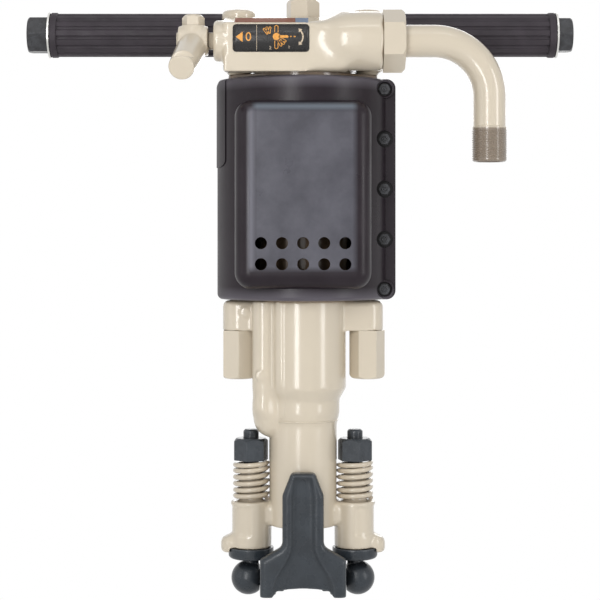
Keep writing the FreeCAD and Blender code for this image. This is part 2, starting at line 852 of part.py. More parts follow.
def pawl_pocket():
    """Room in the rifle bar head for one pawl, from its heel to its outer swing."""
    bottom = ratchet_bottom + seat_gap * 2
    top = ratchet_top + cut_over
    heel = upright(pawl_heel_radius + running_gap, pawl_pivot_radius, 0.0, bottom, top)
    swing = block(pawl_pivot_radius - pawl_half_width - seat_gap, rifle_head_radius + cut_over,
                  0.0, pawl_length + hole_gap * 2, bottom, top)
    plunger = cylinder(pawl_plunger_radius + thread_gap,
                       point(pawl_spring_start, pawl_plunger_place, (ratchet_bottom + ratchet_top) / 2),
                       ACROSS_X, pawl_pivot_radius - pawl_spring_start)
    return fused([heel, swing, plunger])


def rifle_bar():
    splines = helical_star(rifle_root_radius, rifle_radius, rifle_tooth_share, rifle_bottom,
                           rifle_neck_bottom())
    neck = upright(rifle_radius, 0.0, 0.0, rifle_neck_bottom(), ratchet_bottom + seat_gap)
    head = upright(rifle_head_radius, 0.0, 0.0, ratchet_bottom + seat_gap, ratchet_top - seat_gap)
    bar = fused([splines, neck, head])
    bar = bar.cut(upright(blow_tube_radius + hole_gap, 0.0, 0.0, rifle_bottom - cut_over,
                          ratchet_top + cut_over))
    pocket = pawl_pocket()
    for index in range(pawl_count):
        bar = bar.cut(around_axis(pocket, 360.0 * index / pawl_count))
    return bar


def pawl(index):
    bottom = ratchet_bottom + seat_gap * 3
    top = ratchet_top - seat_gap * 3
    heel = upright(pawl_heel_radius, pawl_pivot_radius, 0.0, bottom, top)
    arm = block(pawl_pivot_radius - pawl_half_width, pawl_pivot_radius + pawl_half_width, 0.0, pawl_length,
                bottom, top)
    return around_axis(fused([heel, arm]), 360.0 * index / pawl_count)


def pawl_pins(radius, start, end, bore):
    """One pin behind each pawl, pointing outwards."""
    middle = (ratchet_bottom + ratchet_top) / 2
    pins = []
    for index in range(pawl_count):
        pin = cylinder(radius, point(start, pawl_plunger_place, middle), ACROSS_X, end - start)
        if bore:
            pin = pin.cut(cylinder(bore, point(start - cut_over, pawl_plunger_place, middle), ACROSS_X,
                                   end - start + 2 * cut_over))
        pins.append(around_axis(pin, 360.0 * index / pawl_count))
    return Part.makeCompound(pins)


def ratchet_ring():
    outside = upright(chamber_radius - thread_gap, 0.0, 0.0, ratchet_bottom, ratchet_top)
    pitch = 360.0 / ratchet_teeth
    corners = []
    for index in range(ratchet_teeth):
        face = ratchet_face_angle + pitch * index
        corners.append(polar_point(ratchet_tip_radius, face - pitch, ratchet_bottom - cut_over))
        corners.append(polar_point(ratchet_root_radius, face, ratchet_bottom - cut_over))
    corners.append(corners[0])
    height = ratchet_top - ratchet_bottom + 2 * cut_over
    teeth = Part.Face(Part.makePolygon(corners)).extrude(UPWARDS * height)
    return outside.cut(teeth)


def ring_of_ports(radius, bottom, top):
    ports = []
    for index in range(valve_port_count):
        place = polar_point(radius, 360.0 * (index + 1 / 2) / valve_port_count, bottom)
        ports.append(cylinder(valve_port_radius, place, UPWARDS, top - bottom))
    return Part.makeCompound(ports)


def valve_room_bottom():
    return chest_top - valve_thickness - valve_shift - seat_gap * 2


def valve_chest():
    outside = upright(chamber_radius - thread_gap, 0.0, 0.0, chamber_bottom, chest_top)
    hole = upright(chest_hole_radius, 0.0, 0.0, chamber_bottom - cut_over, chest_top + cut_over)
    room_bottom = valve_room_bottom()
    room = upright(valve_outer_radius + running_gap, 0.0, 0.0, room_bottom, chest_top + cut_over)
    core = upright(valve_inner_radius - running_gap, 0.0, 0.0, room_bottom - cut_over,
                   chest_top + 2 * cut_over)
    chest = outside.cut(room.cut(core)).cut(hole)
    middle = (valve_inner_radius + valve_outer_radius) / 2
    return chest.cut(ring_of_ports(middle, chamber_bottom - cut_over, room_bottom + cut_over))


def valve():
    bottom = valve_room_bottom() + seat_gap
    ring = upright(valve_outer_radius, 0.0, 0.0, bottom, bottom + valve_thickness)
    return ring.cut(upright(valve_inner_radius, 0.0, 0.0, bottom - cut_over,
                            bottom + valve_thickness + cut_over))


def valve_cover():
    outside = upright(chamber_radius - thread_gap, 0.0, 0.0, chest_top, ratchet_bottom)
    hole = upright(chest_hole_radius, 0.0, 0.0, chest_top - cut_over, ratchet_bottom + cut_over)
    middle = (valve_inner_radius + valve_outer_radius) / 2
    ports = ring_of_ports(middle, chest_top - cut_over, ratchet_bottom + cut_over)
    return outside.cut(hole).cut(ports)


def blow_tube():
    tube = upright(blow_tube_radius, 0.0, 0.0, blow_tube_bottom, blow_tube_top)
    head = upright(blow_tube_head_radius, 0.0, 0.0, blow_tube_top - blow_tube_head_height, blow_tube_top)
    bore = upright(blow_tube_bore, 0.0, 0.0, blow_tube_bottom - cut_over, blow_tube_top + cut_over)
    return fused([tube, head]).cut(bore)


def blow_tube_gasket():
    head_bottom_z = blow_tube_top - blow_tube_head_height
    ring = upright(blow_tube_head_radius, 0.0, 0.0, head_bottom_z - blow_gasket_height, head_bottom_z)
    return ring.cut(upright(blow_tube_radius + thread_gap, 0.0, 0.0, head_bottom_z - blow_gasket_height * 2,
                            head_bottom_z + cut_over))


def backhead_body():
    """The block with its deck, which slopes down towards the front."""
    foot = flange_bottom + flange_rounding
    body = block(block_left, block_right, block_front, block_rear, foot, deck_height)

    def upright_corner(box):
        return box.ZLength > (deck_height - flange_top) / 2 and box.XLength < cut_over
    body = softened(body, body_corner_rounding, upright_corner)
    slope_rear = -plug_boss_radius
    over = block_front - cut_over
    fall = deck_slope_drop * (slope_rear - over) / (slope_rear - block_front)
    wedge = Part.Face(Part.makePolygon([
        point(block_left - cut_over, slope_rear, deck_height),
        point(block_left - cut_over, over, deck_height - fall),
        point(block_left - cut_over, over, deck_height + cut_over),
        point(block_left - cut_over, slope_rear, deck_height + cut_over),
        point(block_left - cut_over, slope_rear, deck_height),
    ])).extrude(ACROSS_X * (block_right - block_left + 2 * cut_over))
    body = body.cut(wedge)

    def front_top(box):
        long_enough = box.XLength > (block_right - block_left) / 2
        return long_enough and box.YMax < block_front + cut_over and box.ZMin > flange_top
    return softened(body, deck_front_rounding, front_top)


def backhead():
    flange = wheel_hull(flange_radius, side_rod_x, flange_ear_radius, flange_bottom, flange_top)
    flange = softened(flange, flange_rounding, level_at(flange_bottom))
    spigot = upright(chamber_radius - thread_gap, 0.0, 0.0, ratchet_top, flange_top)
    pad = upright(clamp_pad_radius, 0.0, 0.0, cylinder_top, flange_top)
    body = backhead_body()
    left_boss = turned([
        (0.0, 0.0), (throttle_boss_radius - throttle_boss_chamfer, 0.0),
        (throttle_boss_radius, throttle_boss_chamfer),
        (throttle_boss_radius, block_left - throttle_boss_end + cut_over * 2),
        (0.0, block_left - throttle_boss_end + cut_over * 2),
    ], point(throttle_boss_end, throttle_y, throttle_z), ACROSS_X)
    cone = Part.makeCone(throttle_boss_radius, inlet_boss_radius, inlet_boss_start - inlet_cone_start,
                         point(inlet_cone_start, throttle_y, throttle_z), ACROSS_X)
    right_boss = crosswise(inlet_boss_radius, throttle_y, throttle_z, inlet_boss_start, inlet_boss_end)

    def end_rim(box):
        return box.XMin > inlet_boss_end - cut_over
    right_boss = softened(right_boss, inlet_boss_rounding, end_rim)
    inlet_spigot = crosswise(spigot_radius, throttle_y, throttle_z, inlet_boss_end - cut_over, spigot_end)
    handle_boss = crosswise(handle_boss_radius, handle_y, handle_z, -handle_boss_end, handle_boss_end)
    saddle = block(-saddle_half_width, saddle_half_width, 0.0, handle_y, saddle_bottom,
                   handle_z + handle_boss_radius / 2)
    saddle_foot = block(-saddle_half_width / 2, saddle_half_width / 2, 0.0, handle_y, flange_bottom
                        + flange_rounding, saddle_bottom + cut_over)
    plug_boss = upright(plug_boss_radius, 0.0, 0.0, flange_top, deck_height)
    casting = fused([flange, spigot, pad, body, left_boss, cone, right_boss, inlet_spigot, handle_boss,
                     saddle, saddle_foot, plug_boss])
    ear_foot = flange_bottom + flange_rounding
    for side in (-1, 1):
        ear = upright(flange_ear_radius, side * side_rod_x, 0.0, ear_foot, deck_height)
        ear_pad = upright(clamp_ear_pad_radius, side * side_rod_x, 0.0, cylinder_top, flange_top)
        casting = casting.fuse(ear).fuse(ear_pad)
    casting = casting.removeSplitter()
    throttle_room = crosswise(throttle_radius + running_gap, throttle_y, throttle_z,
                              throttle_boss_end + throttle_cover_wall, throttle_valve_end + seat_gap)
    stem_room = crosswise(throttle_stem_radius + running_gap, throttle_y, throttle_z,
                          throttle_boss_end - cut_over, throttle_boss_end + throttle_cover_wall + cut_over)
    air_way = crosswise(inlet_bore_radius, throttle_y, throttle_z, throttle_valve_end, spigot_end + cut_over)
    feed = upright(feed_radius, throttle_port_x, feed_y, ratchet_top - cut_over, throttle_z)
    feed_link = lengthwise(feed_radius, throttle_port_x, throttle_z, throttle_y, feed_y)
    detent_room = lengthwise(detent_radius + running_gap, detent_x, throttle_z, throttle_y, detent_bore_end)
    handle_room = crosswise(handle_bolt_radius + seat_gap, handle_y, handle_z, -handle_boss_end - cut_over,
                            handle_boss_end + cut_over)
    plug_room = upright(plug_thread_radius + thread_gap, 0.0, 0.0, deck_height - plug_thread_depth,
                        deck_height + cut_over)
    tube_head_room = upright(blow_tube_head_radius + thread_gap, 0.0, 0.0,
                             blow_tube_top - blow_tube_head_height - blow_gasket_height, deck_height)
    tube_room = upright(blow_tube_radius + thread_gap, 0.0, 0.0, ratchet_top - cut_over, deck_height)
    head_room = upright(rifle_head_radius + running_gap, 0.0, 0.0, ratchet_top - cut_over,
                        ratchet_top + seat_gap)
    for room in (throttle_room, stem_room, air_way, feed, feed_link, detent_room, handle_room, plug_room,
                 tube_head_room, tube_room, head_room):
        casting = casting.cut(room)
    for side in (-1, 1):
        casting = casting.cut(upright(side_rod_radius + hole_gap, side * side_rod_x, 0.0,
                                      cylinder_top - cut_over, deck_height + cut_over))
    return casting


def top_plug():
    head = chamfered_hexagon(plug_flats, point(0.0, 0.0, deck_height), UPWARDS, plug_height, plug_chamfer,
                             plug_turn)
    thread = upright(plug_thread_radius, 0.0, 0.0, deck_height - plug_thread_depth + thread_gap,
                     deck_height + cut_over)
    return fused([head, thread])


def side_rod(side):
    rod = upright(side_rod_radius, side * side_rod_x, 0.0, side_rod_bottom, deck_height + cut_over)
    head = upright(side_rod_head_radius, side * side_rod_x, 0.0, deck_height,
                   deck_height + side_rod_head_height)
    head = softened(head, side_rod_head_rounding, level_at(deck_height + side_rod_head_height))
    return fused([rod, head])


def domed_hexagon(flats, x, bottom, top, rounding, turn):
    """An upright hexagonal bar whose lower end is turned round."""
    bar = hexagon(flats, point(x, 0.0, bottom), UPWARDS, top - bottom, turn)
    blank = upright(flats / math.sqrt(3), x, 0.0, bottom, top)
    return bar.common(softened(blank, rounding, level_at(bottom)))


def side_rod_nuts():
    """Long cap nuts; each has stopped at its own angle, the left one corner first."""
    nuts = []
    for side, turn in ((-1, 30.0), (1, 0.0)):
        nut = domed_hexagon(side_nut_flats, side * side_rod_x, side_nut_bottom, head_ear_bottom,
                            side_nut_rounding, turn)
        hole = upright(side_rod_radius + thread_gap, side * side_rod_x, 0.0, side_rod_bottom - thread_gap,
                       head_ear_bottom + cut_over)
        nuts.append(nut.cut(hole))
    return Part.makeCompound(nuts)


def detent_dimples(gap):
    """Round dimples in the throttle valve, one for each end of the lever's swing."""
    dimples = []
    for turn in (0.0, throttle_swing):
        ball = cylinder(detent_radius + gap, point(detent_x, throttle_y, throttle_z), ACROSS_Y,
                        throttle_radius + cut_over)
        ball = ball.cut(crosswise(throttle_radius - detent_travel - gap, throttle_y, throttle_z,
                                  detent_x - 2 * detent_radius, detent_x + 2 * detent_radius))
        ball.rotate(point(detent_x, throttle_y, throttle_z), ACROSS_X, turn)
        dimples.append(ball)
    return dimples


def throttle_valve():
    valve_body = crosswise(throttle_radius, throttle_y, throttle_z,
                           throttle_boss_end + throttle_cover_wall + seat_gap, throttle_valve_end)
    stem = crosswise(throttle_stem_radius, throttle_y, throttle_z, throttle_stem_end, throttle_valve_end
                     - throttle_bore_depth)
    body = fused([valve_body, stem])
    air_way = crosswise(throttle_bore_radius, throttle_y, throttle_z, throttle_valve_end
                        - throttle_bore_depth + cut_over * 3, throttle_valve_end + cut_over)
    port = cylinder(feed_radius, point(throttle_port_x, throttle_y, throttle_z), UPWARDS,
                    throttle_radius + cut_over)
    body = body.cut(air_way).cut(port)
    for dimple in detent_dimples(running_gap):
        body = body.cut(dimple)
    return body


def lever_web(tip):
    """A rib that joins the arm to the inner side of the hub."""
    start = point(lever_web_x, lever_web_y, throttle_z - lever_web_drop)
    end = start + (tip - start) * lever_web_share
    return Part.makeCone(lever_web_radius, lever_web_radius / 2, (end - start).Length, start, end - start)


def throttle_lever():
    hub = crosswise(lever_hub_radius, throttle_y, throttle_z, lever_x - lever_half_length,
                    lever_x + lever_half_length)

    def end_rims(box):
        return box.XLength < thread_gap
    hub = softened(hub, lever_tip_chamfer, end_rims)
    crown = Part.makeCone(lever_hub_radius + lever_tip_chamfer, lever_crown_radius,
                          lever_crown_top - throttle_z + lever_hub_radius / 2,
                          point(lever_x, throttle_y, throttle_z - lever_hub_radius / 2), UPWARDS)
    root = point(lever_x, throttle_y, throttle_z - lever_hub_radius / 4)
    tip = point(lever_tip_x, lever_tip_y, lever_tip_z)
    along = tip - root
    arm = Part.makeCone(lever_root_radius, lever_tip_radius, along.Length, root, along)
    arm = softened(arm, lever_tip_chamfer, lambda box: box.YMax < lever_tip_y + lever_tip_radius
                   and box.YLength < lever_tip_radius * 2)
    lever = fused([hub, crown, arm, lever_web(tip)])
    flat_bottom = lever_tip_z + lever_tip_radius - lever_flat_depth
    flat = block(lever_tip_x - 2 * lever_tip_radius, lever_tip_x + 2 * lever_tip_radius,
                 lever_tip_y - 2 * lever_tip_radius, lever_tip_y + lever_tip_radius / 2, flat_bottom,
                 flat_bottom + 2 * lever_tip_radius)
    stem_room = crosswise(throttle_stem_radius + thread_gap, throttle_y, throttle_z, throttle_stem_end
                          - cut_over, lever_x + lever_half_length + cut_over)
    bolt_room = upright(lever_bolt_radius + thread_gap, lever_x, throttle_y,
                        throttle_z, lever_crown_top + cut_over)
    return lever.cut(flat).cut(stem_room).cut(bolt_room)


def lever_clamp_bolt():
    shank = upright(lever_bolt_radius, lever_x, throttle_y,
                    throttle_z + throttle_stem_radius + thread_gap, lever_crown_top + cut_over)
    head = chamfered_hexagon(lever_bolt_head_flats, point(lever_x, throttle_y, lever_crown_top), UPWARDS,
                             lever_bolt_head_top - lever_crown_top, lever_bolt_chamfer)
    return fused([shank, head])


def detent_plunger_front():
    return throttle_y + throttle_radius + running_gap * 2


def detent_plunger():
    front = detent_plunger_front()
    return lengthwise(detent_radius, detent_x, throttle_z, front, front + detent_length)


def detent_spring():
    front = detent_plunger_front() + detent_length + running_gap
    tube = lengthwise(detent_radius, detent_x, throttle_z, front, detent_bore_end)
    return tube.cut(lengthwise(detent_radius / 2, detent_x, throttle_z, front - cut_over,
                               detent_bore_end + cut_over))


def swivel_nut():
    start = inlet_boss_end + seat_gap
    nut = chamfered_hexagon(swivel_nut_flats, point(start, throttle_y, throttle_z), ACROSS_X,
                            swivel_nut_end - start, swivel_nut_chamfer, 30.0)
    thread_room = crosswise(spigot_radius + thread_gap, throttle_y, throttle_z, start - cut_over,
                            swivel_lip_start)
    pipe_room = crosswise(pipe_radius + running_gap, throttle_y, throttle_z, start,
                          swivel_nut_end + cut_over)
    return nut.cut(thread_room).cut(pipe_room)


def pipe_sweep(radius, start_x, end_z):
    """A round bar along the pipe's path: level, round the bend, then down."""
    bend_z = throttle_z - pipe_bend_radius
    middle = pipe_bend_radius / math.sqrt(2)
    bend_place = point(pipe_bend_start, throttle_y, throttle_z)
    path = Part.Wire([
        Part.makeLine(point(start_x, throttle_y, throttle_z), bend_place),
        Part.Arc(bend_place,
                 point(pipe_bend_start + middle, throttle_y, bend_z + middle),
                 point(pipe_leg_x, throttle_y, bend_z)).toShape(),
        Part.makeLine(point(pipe_leg_x, throttle_y, bend_z), point(pipe_leg_x, throttle_y, end_z)),
    ])
    ring = Part.Wire(Part.makeCircle(radius, point(start_x, throttle_y, throttle_z), ACROSS_X))
    return path.makePipeShell([ring], True, True)


def gooseneck():
    pipe = pipe_sweep(pipe_radius, pipe_flange_start, pipe_end_z + pipe_end_chamfer)
    thread = turned([
        (0.0, 0.0), (pipe_thread_radius - pipe_end_chamfer, 0.0), (pipe_thread_radius, pipe_end_chamfer),
        (pipe_thread_radius, pipe_thread_length), (0.0, pipe_thread_length),
    ], point(pipe_leg_x, throttle_y, pipe_end_z), UPWARDS)
    flange = crosswise(pipe_flange_radius, throttle_y, throttle_z, pipe_flange_start, pipe_flange_end)
    bore = pipe_sweep(pipe_bore_radius, pipe_flange_start - cut_over, pipe_end_z - cut_over)
    return fused([pipe, thread, flange]).cut(bore)


def inlet_seal():
    ring = crosswise(pipe_flange_radius, throttle_y, throttle_z, spigot_end, spigot_end + seal_thickness)
    return ring.cut(crosswise(pipe_bore_radius, throttle_y, throttle_z, spigot_end - cut_over,
                              spigot_end + cut_over))


def inlet_screen():
    """A slotted cup strainer in the inlet."""
    tube = crosswise(screen_radius, throttle_y, throttle_z, screen_start, spigot_end)
    inner = crosswise(screen_radius - screen_wall, throttle_y, throttle_z, screen_start + screen_wall,
                      spigot_end + cut_over)
    tube = tube.cut(inner)
    slot = block(screen_start + screen_wall * 3, screen_start + screen_wall * 3 + screen_slot_length,
                 -screen_radius - cut_over, screen_radius + cut_over, -screen_slot_half_width,
                 screen_slot_half_width)
    for index in range(screen_slot_count // 2):
        cutter = slot.copy()
        cutter.rotate(DRILL_AXIS, ACROSS_X, 360.0 * index / screen_slot_count)
        cutter.translate(point(0.0, throttle_y, throttle_z))
        tube = tube.cut(cutter)
    return tube


def grip(side):
    """One ribbed rubber grip with an end flange."""
    inner_end = handle_boss_end
    sleeve = crosswise(grip_radius, handle_y, handle_z, inner_end, grip_end)
    for index in range(grip_rib_count):
        angle = 2 * math.pi * (index + 1 / 2) / grip_rib_count
        reach = grip_radius + grip_groove_radius - grip_groove_depth
        sleeve = sleeve.cut(crosswise(grip_groove_radius, handle_y + reach * math.cos(angle),
                                      handle_z + reach * math.sin(angle), inner_end - cut_over, grip_end))
    flange = crosswise(grip_flange_radius, handle_y, handle_z, grip_end, grip_flange_end)
    flange = softened(flange, grip_groove_depth, lambda box: box.XLength < thread_gap)
    room = crosswise(grip_tube_radius + grip_tube_gap, handle_y, handle_z, inner_end - cut_over,
                     grip_flange_end + cut_over)
    solid = fused([sleeve, flange]).cut(room)
    return solid if side > 0 else mirrored(solid)


def grip_tubes():
    tube = crosswise(grip_tube_radius, handle_y, handle_z, handle_boss_end, grip_flange_end)
    tube = tube.cut(crosswise(handle_bolt_radius + grip_tube_gap, handle_y, handle_z,
                              handle_boss_end - cut_over, grip_flange_end + cut_over))
    return Part.makeCompound([tube, mirrored(tube)])


def grip_washers():
    washer = crosswise(grip_washer_radius, handle_y, handle_z, grip_flange_end,
                       grip_flange_end + grip_washer_thickness)
    washer = washer.cut(crosswise(handle_bolt_radius + thread_gap, handle_y, handle_z,
                                  grip_flange_end - cut_over, grip_flange_end + cut_over * 2))
    return Part.makeCompound([washer, mirrored(washer)])


def handle_bolt():
    seat = grip_flange_end + grip_washer_thickness
    shank = crosswise(handle_bolt_radius, handle_y, handle_z, -seat - handle_nut_length, seat)
    head = chamfered_hexagon(handle_head_flats, point(seat, handle_y, handle_z), ACROSS_X,
                             handle_head_length, handle_nut_chamfer)
    return fused([shank, head])


def handle_nut():
    seat = grip_flange_end + grip_washer_thickness
    nut = chamfered_hexagon(handle_nut_flats, point(-seat, handle_y, handle_z), -ACROSS_X,
                            handle_nut_length, handle_nut_chamfer)
    return nut.cut(crosswise(handle_bolt_radius + thread_gap, handle_y, handle_z,
                             -seat - handle_nut_length - cut_over, -seat + cut_over))


def muffler_bolt_heights():
    span = muffler_top - muffler_bottom - 2 * muffler_bolt_end_inset
    step = span / (muffler_bolt_count - 1)
    return [muffler_bottom + muffler_bolt_end_inset + step * index for index in range(muffler_bolt_count)]


def muffler_segment(shrink):
    """The front half of the barrel, shrunk by a wall where it is the hollow."""
    barrel = upright(muffler_arc_radius - shrink, 0.0, muffler_arc_offset, muffler_bottom + shrink,
                     muffler_top - shrink)
    reach = muffler_arc_radius
    if shrink:
        reach = muffler_flange_inner_x
    return barrel.common(block(-reach, reach, -muffler_arc_radius, 0.0, muffler_bottom, muffler_top))


def muffler_barrel():
    """The outside of one shell, with soft rims and the rounded left corners of its front view."""
    barrel = muffler_segment(0.0)

    def rim_edge(box):
        level = level_at(muffler_top)(box) or level_at(muffler_bottom)(box)
        return level and box.YMin < -muffler_wall
    barrel = softened(barrel, muffler_wall, rim_edge)
    left = -math.sqrt(muffler_arc_radius ** 2 - muffler_arc_offset ** 2)
    view = block(left, muffler_arc_radius, -muffler_arc_radius, 0.0, muffler_bottom, muffler_top)
    view = softened(view, muffler_left_corner, lambda box: box.XMax < 0.0 and box.YLength > muffler_wall)
    return barrel.common(view)


def muffler_land():
    """The shallow raised field at the upper left of the front shell."""
    low = muffler_top - muffler_land_length
    outer = -muffler_arc_radius - muffler_land_height
    inner = -muffler_arc_radius + muffler_land_inset
    field = block(outer, inner, -muffler_arc_radius, 0.0, low, muffler_top)

    def inner_corner(box):
        return box.YLength > muffler_wall and box.XMin > inner - thread_gap and box.ZMax < low + thread_gap
    field = softened(field, muffler_land_corner, inner_corner)
    skin = upright(muffler_arc_radius + muffler_land_height, 0.0, muffler_arc_offset, low, muffler_top)
    left = -math.sqrt((muffler_arc_radius + muffler_land_height) ** 2 - muffler_arc_offset ** 2)
    view = block(left, 0.0, -muffler_arc_radius, 0.0, muffler_bottom, muffler_top - muffler_wall / 2)
    view = softened(view, muffler_left_corner, lambda box: box.XMax < 0.0 and box.YLength > muffler_wall)
    return field.common(skin).common(view)


def with_bolt_holes(shell):
    """A shell with the pockets and holes of the clamping bolts."""
    for height in muffler_bolt_heights():
        shell = shell.cut(lengthwise(muffler_pocket_radius, muffler_bolt_x, height, -muffler_arc_radius,
                                     -muffler_pocket_floor))
        shell = shell.cut(lengthwise(muffler_bolt_radius + thread_gap, muffler_bolt_x, height,
                                     -muffler_arc_radius, cut_over))
    return shell


def muffler_flange():
    """The solid strip at +X that the bolts pull together."""
    strip = block(muffler_flange_inner_x, muffler_flange_x, -muffler_flange_half_depth, 0.0,
                  muffler_bottom, muffler_top)

    def outer_corner(box):
        return box.XMin > muffler_flange_x - thread_gap and box.YLength > muffler_flange_half_depth / 2
    return softened(strip, muffler_flange_corner, outer_corner)


def muffler_rooms():
    """What passes through both shells: the cylinder with its flanges, and the side rods."""
    barrel = upright(cylinder_foot_radius + casting_gap, 0.0, 0.0, muffler_bottom - cut_over,
                     muffler_top - 2 * muffler_wall)
    rim = wheel_hull(cylinder_rim_radius + casting_gap, side_rod_x, cylinder_ear_radius + casting_gap,
                     cylinder_rim_bottom - casting_gap, muffler_top + cut_over)
    rooms = [barrel, rim]
    for side in (-1, 1):
        rooms.append(upright(side_rod_radius + hole_gap, side * side_rod_x, 0.0, muffler_bottom - cut_over,
                             cylinder_rim_bottom))
    return fused(rooms)


def panel_block(inset, shoulder):
    """The vented panel's block, or its hollow, inset by a wall on every side but the rear."""
    panel = block(-panel_half_width + inset, panel_half_width - inset, panel_front + inset, panel_rear,
                  panel_bottom + inset, panel_top - inset)

    def corner_edge(box):
        return box.YLength > (panel_rear - panel_front) / 2
    panel = softened(panel, panel_corner - inset, corner_edge)
    return softened(panel, shoulder, lambda box: box.YMax < panel_front + inset + thread_gap)


def muffler_front():
    skin = panel_block(0.0, panel_shoulder)
    hollow = panel_block(muffler_wall, panel_shoulder - muffler_wall)
    hollow = hollow.common(block(-muffler_flange_inner_x, muffler_flange_inner_x, -muffler_arc_radius, 0.0,
                                 muffler_bottom + muffler_wall, muffler_top - muffler_wall))
    shell = fused([muffler_barrel(), skin, muffler_flange(), muffler_land()])
    shell = shell.cut(muffler_segment(muffler_wall)).cut(hollow).cut(muffler_rooms())
    for row in range(vent_rows):
        for column in range(vent_columns):
            x = vent_pitch_x * (column - (vent_columns - 1) / 2)
            z = vent_rows_z + vent_pitch_z * row
            shell = shell.cut(lengthwise(vent_radius, x, z, panel_front - cut_over, panel_front
                                         + 2 * muffler_wall))
    return with_bolt_holes(shell)


def muffler_rear():
    shell = fused([muffler_barrel(), muffler_flange()])
    shell = with_bolt_holes(shell.cut(muffler_segment(muffler_wall)).cut(muffler_rooms()))
    return shell.mirror(DRILL_AXIS, ACROSS_Y)


def muffler_bolts():
    bolts = []
    for height in muffler_bolt_heights():
        seat = -muffler_pocket_floor
        shank = lengthwise(muffler_bolt_radius, muffler_bolt_x, height, seat,
                           muffler_pocket_floor + muffler_nut_height + cut_over)
        collar = lengthwise(muffler_bolt_flange_radius, muffler_bolt_x, height,
                            seat - muffler_bolt_flange_height, seat)
        head = hexagon(muffler_bolt_head_flats, point(muffler_bolt_x, seat, height), -ACROSS_Y,
                       muffler_bolt_head_height)
        bolts.append(fused([shank, collar, head]))
    return Part.makeCompound(bolts)


def muffler_nuts():
    nuts = []
    for height in muffler_bolt_heights():
        nut = hexagon(muffler_nut_flats, point(muffler_bolt_x, muffler_pocket_floor, height), ACROSS_Y,
                      muffler_nut_height)
        nuts.append(nut.cut(lengthwise(muffler_bolt_radius + thread_gap, muffler_bolt_x, height,
                                       0.0, muffler_pocket_floor + muffler_nut_height + cut_over)))
    return Part.makeCompound(nuts)


def retainer_bolt(side):
    collar_top = guide_bottom - seat_gap
    collar_bottom = collar_top - retainer_collar_height
    shank = turned([
        (0.0, trunnion_z), (retainer_shank_radius, trunnion_z),
        (retainer_shank_radius, retainer_shank_top - retainer_shank_chamfer),
        (retainer_shank_radius - retainer_shank_chamfer, retainer_shank_top), (0.0, retainer_shank_top),
    ], point(retainer_bolt_x, 0.0, 0.0), UPWARDS)
    collar = upright(retainer_collar_radius, retainer_bolt_x, 0.0, collar_bottom, collar_top)
    collar = softened(collar, retainer_collar_rounding, level_at(collar_bottom))
    eye = Part.makeSphere(retainer_eye_radius, point(retainer_eye_x, 0.0, trunnion_z))
    bolt = fused([shank, collar, eye])
    reach = retainer_eye_radius + cut_over
    bolt = bolt.cut(block(0.0, retainer_eye_inner_x, -reach, reach, trunnion_z - reach, collar_bottom))
    room = crosswise(trunnion_radius + running_gap, 0.0, trunnion_z, 0.0, trunnion_end + seat_gap)
    bolt = bolt.cut(room)
    return bolt if side > 0 else mirrored(bolt)


def retainer_bolt_nuts():
    nuts = []
    for side in (-1, 1):
        nut = chamfered_hexagon(retainer_nut_flats, point(side * retainer_bolt_x, 0.0, retainer_nut_bottom),
                                UPWARDS, retainer_nut_height, retainer_nut_chamfer,
                                30.0 + side * retainer_nut_turn)
        nuts.append(nut.cut(upright(retainer_shank_radius + thread_gap, side * retainer_bolt_x, 0.0,
                                    retainer_nut_bottom - cut_over, retainer_nut_top + cut_over)))
    return Part.makeCompound(nuts)


def spring_height(turn):
    """Height of the wire's centre above its lowest point after some turns."""
    free = retainer_nut_bottom - guide_top - 2 * seat_gap - 2 * spring_wire_radius
    inner_turns = spring_turns - 2
    inner_pitch = (free - 2 * spring_end_pitch) / inner_turns
    if turn <= 1:
        return spring_end_pitch * turn
    if turn >= spring_turns - 1:
        return free - spring_end_pitch * (spring_turns - turn)
    return spring_end_pitch + inner_pitch * (turn - 1)


def spring_node(side, quarter):
    """Place and direction of the wire at a quarter turn."""
    turn = quarter / 4
    angle = 2 * math.pi * turn
    before = spring_height(max(turn - 1 / 4, 0.0))
    after = spring_height(min(turn + 1 / 4, float(spring_turns)))
    steps = min(turn + 1 / 4, spring_turns) - max(turn - 1 / 4, 0.0)
    climb = (after - before) / steps / (2 * math.pi)
    bottom = guide_top + seat_gap + spring_wire_radius
    place = point(side * retainer_bolt_x + spring_coil_radius * math.cos(angle),
                  spring_coil_radius * math.sin(angle), bottom + spring_height(turn))
    direction = point(-spring_coil_radius * math.sin(angle), spring_coil_radius * math.cos(angle), climb)
    direction.normalize()
    return place, direction


def tangent_arc(start, corner, end):
    """The arc from start to end whose tangents meet at the corner."""
    middle = (start + end) / 2
    half_chord = (end - start).Length / 2
    lean = math.acos(min(1.0, half_chord / (corner - start).Length))
    outward = corner - middle
    outward.normalize()
    top = middle + outward * (half_chord * math.tan(lean / 2))
    return Part.Arc(start, top, end)


def biarc(start, start_direction, end, end_direction):
    """Two tangent arcs that join two places with given directions."""
    across = end - start
    total = start_direction + end_direction
    square = total.dot(total) - 4
    lean = across.dot(total)
    reach = (lean - math.sqrt(lean * lean - square * across.dot(across))) / square
    first_corner = start + start_direction * reach
    second_corner = end - end_direction * reach
    joint = (first_corner + second_corner) / 2
    return [tangent_arc(start, first_corner, joint), tangent_arc(joint, second_corner, end)]


def retainer_spring(side):
    """One unbroken coil of wire between the guide and the nut."""
    arcs = []
    for quarter in range(4 * spring_turns):
        start, start_direction = spring_node(side, quarter)
        end, end_direction = spring_node(side, quarter + 1)
        arcs += biarc(start, start_direction, end, end_direction)
    path = Part.Wire([arc.toShape() for arc in arcs])
    start, start_direction = spring_node(side, 0)
    ring = Part.Wire(Part.makeCircle(spring_wire_radius, start, start_direction))
    report_least_gap(arcs)
    return path.makePipeShell([ring], True, False)


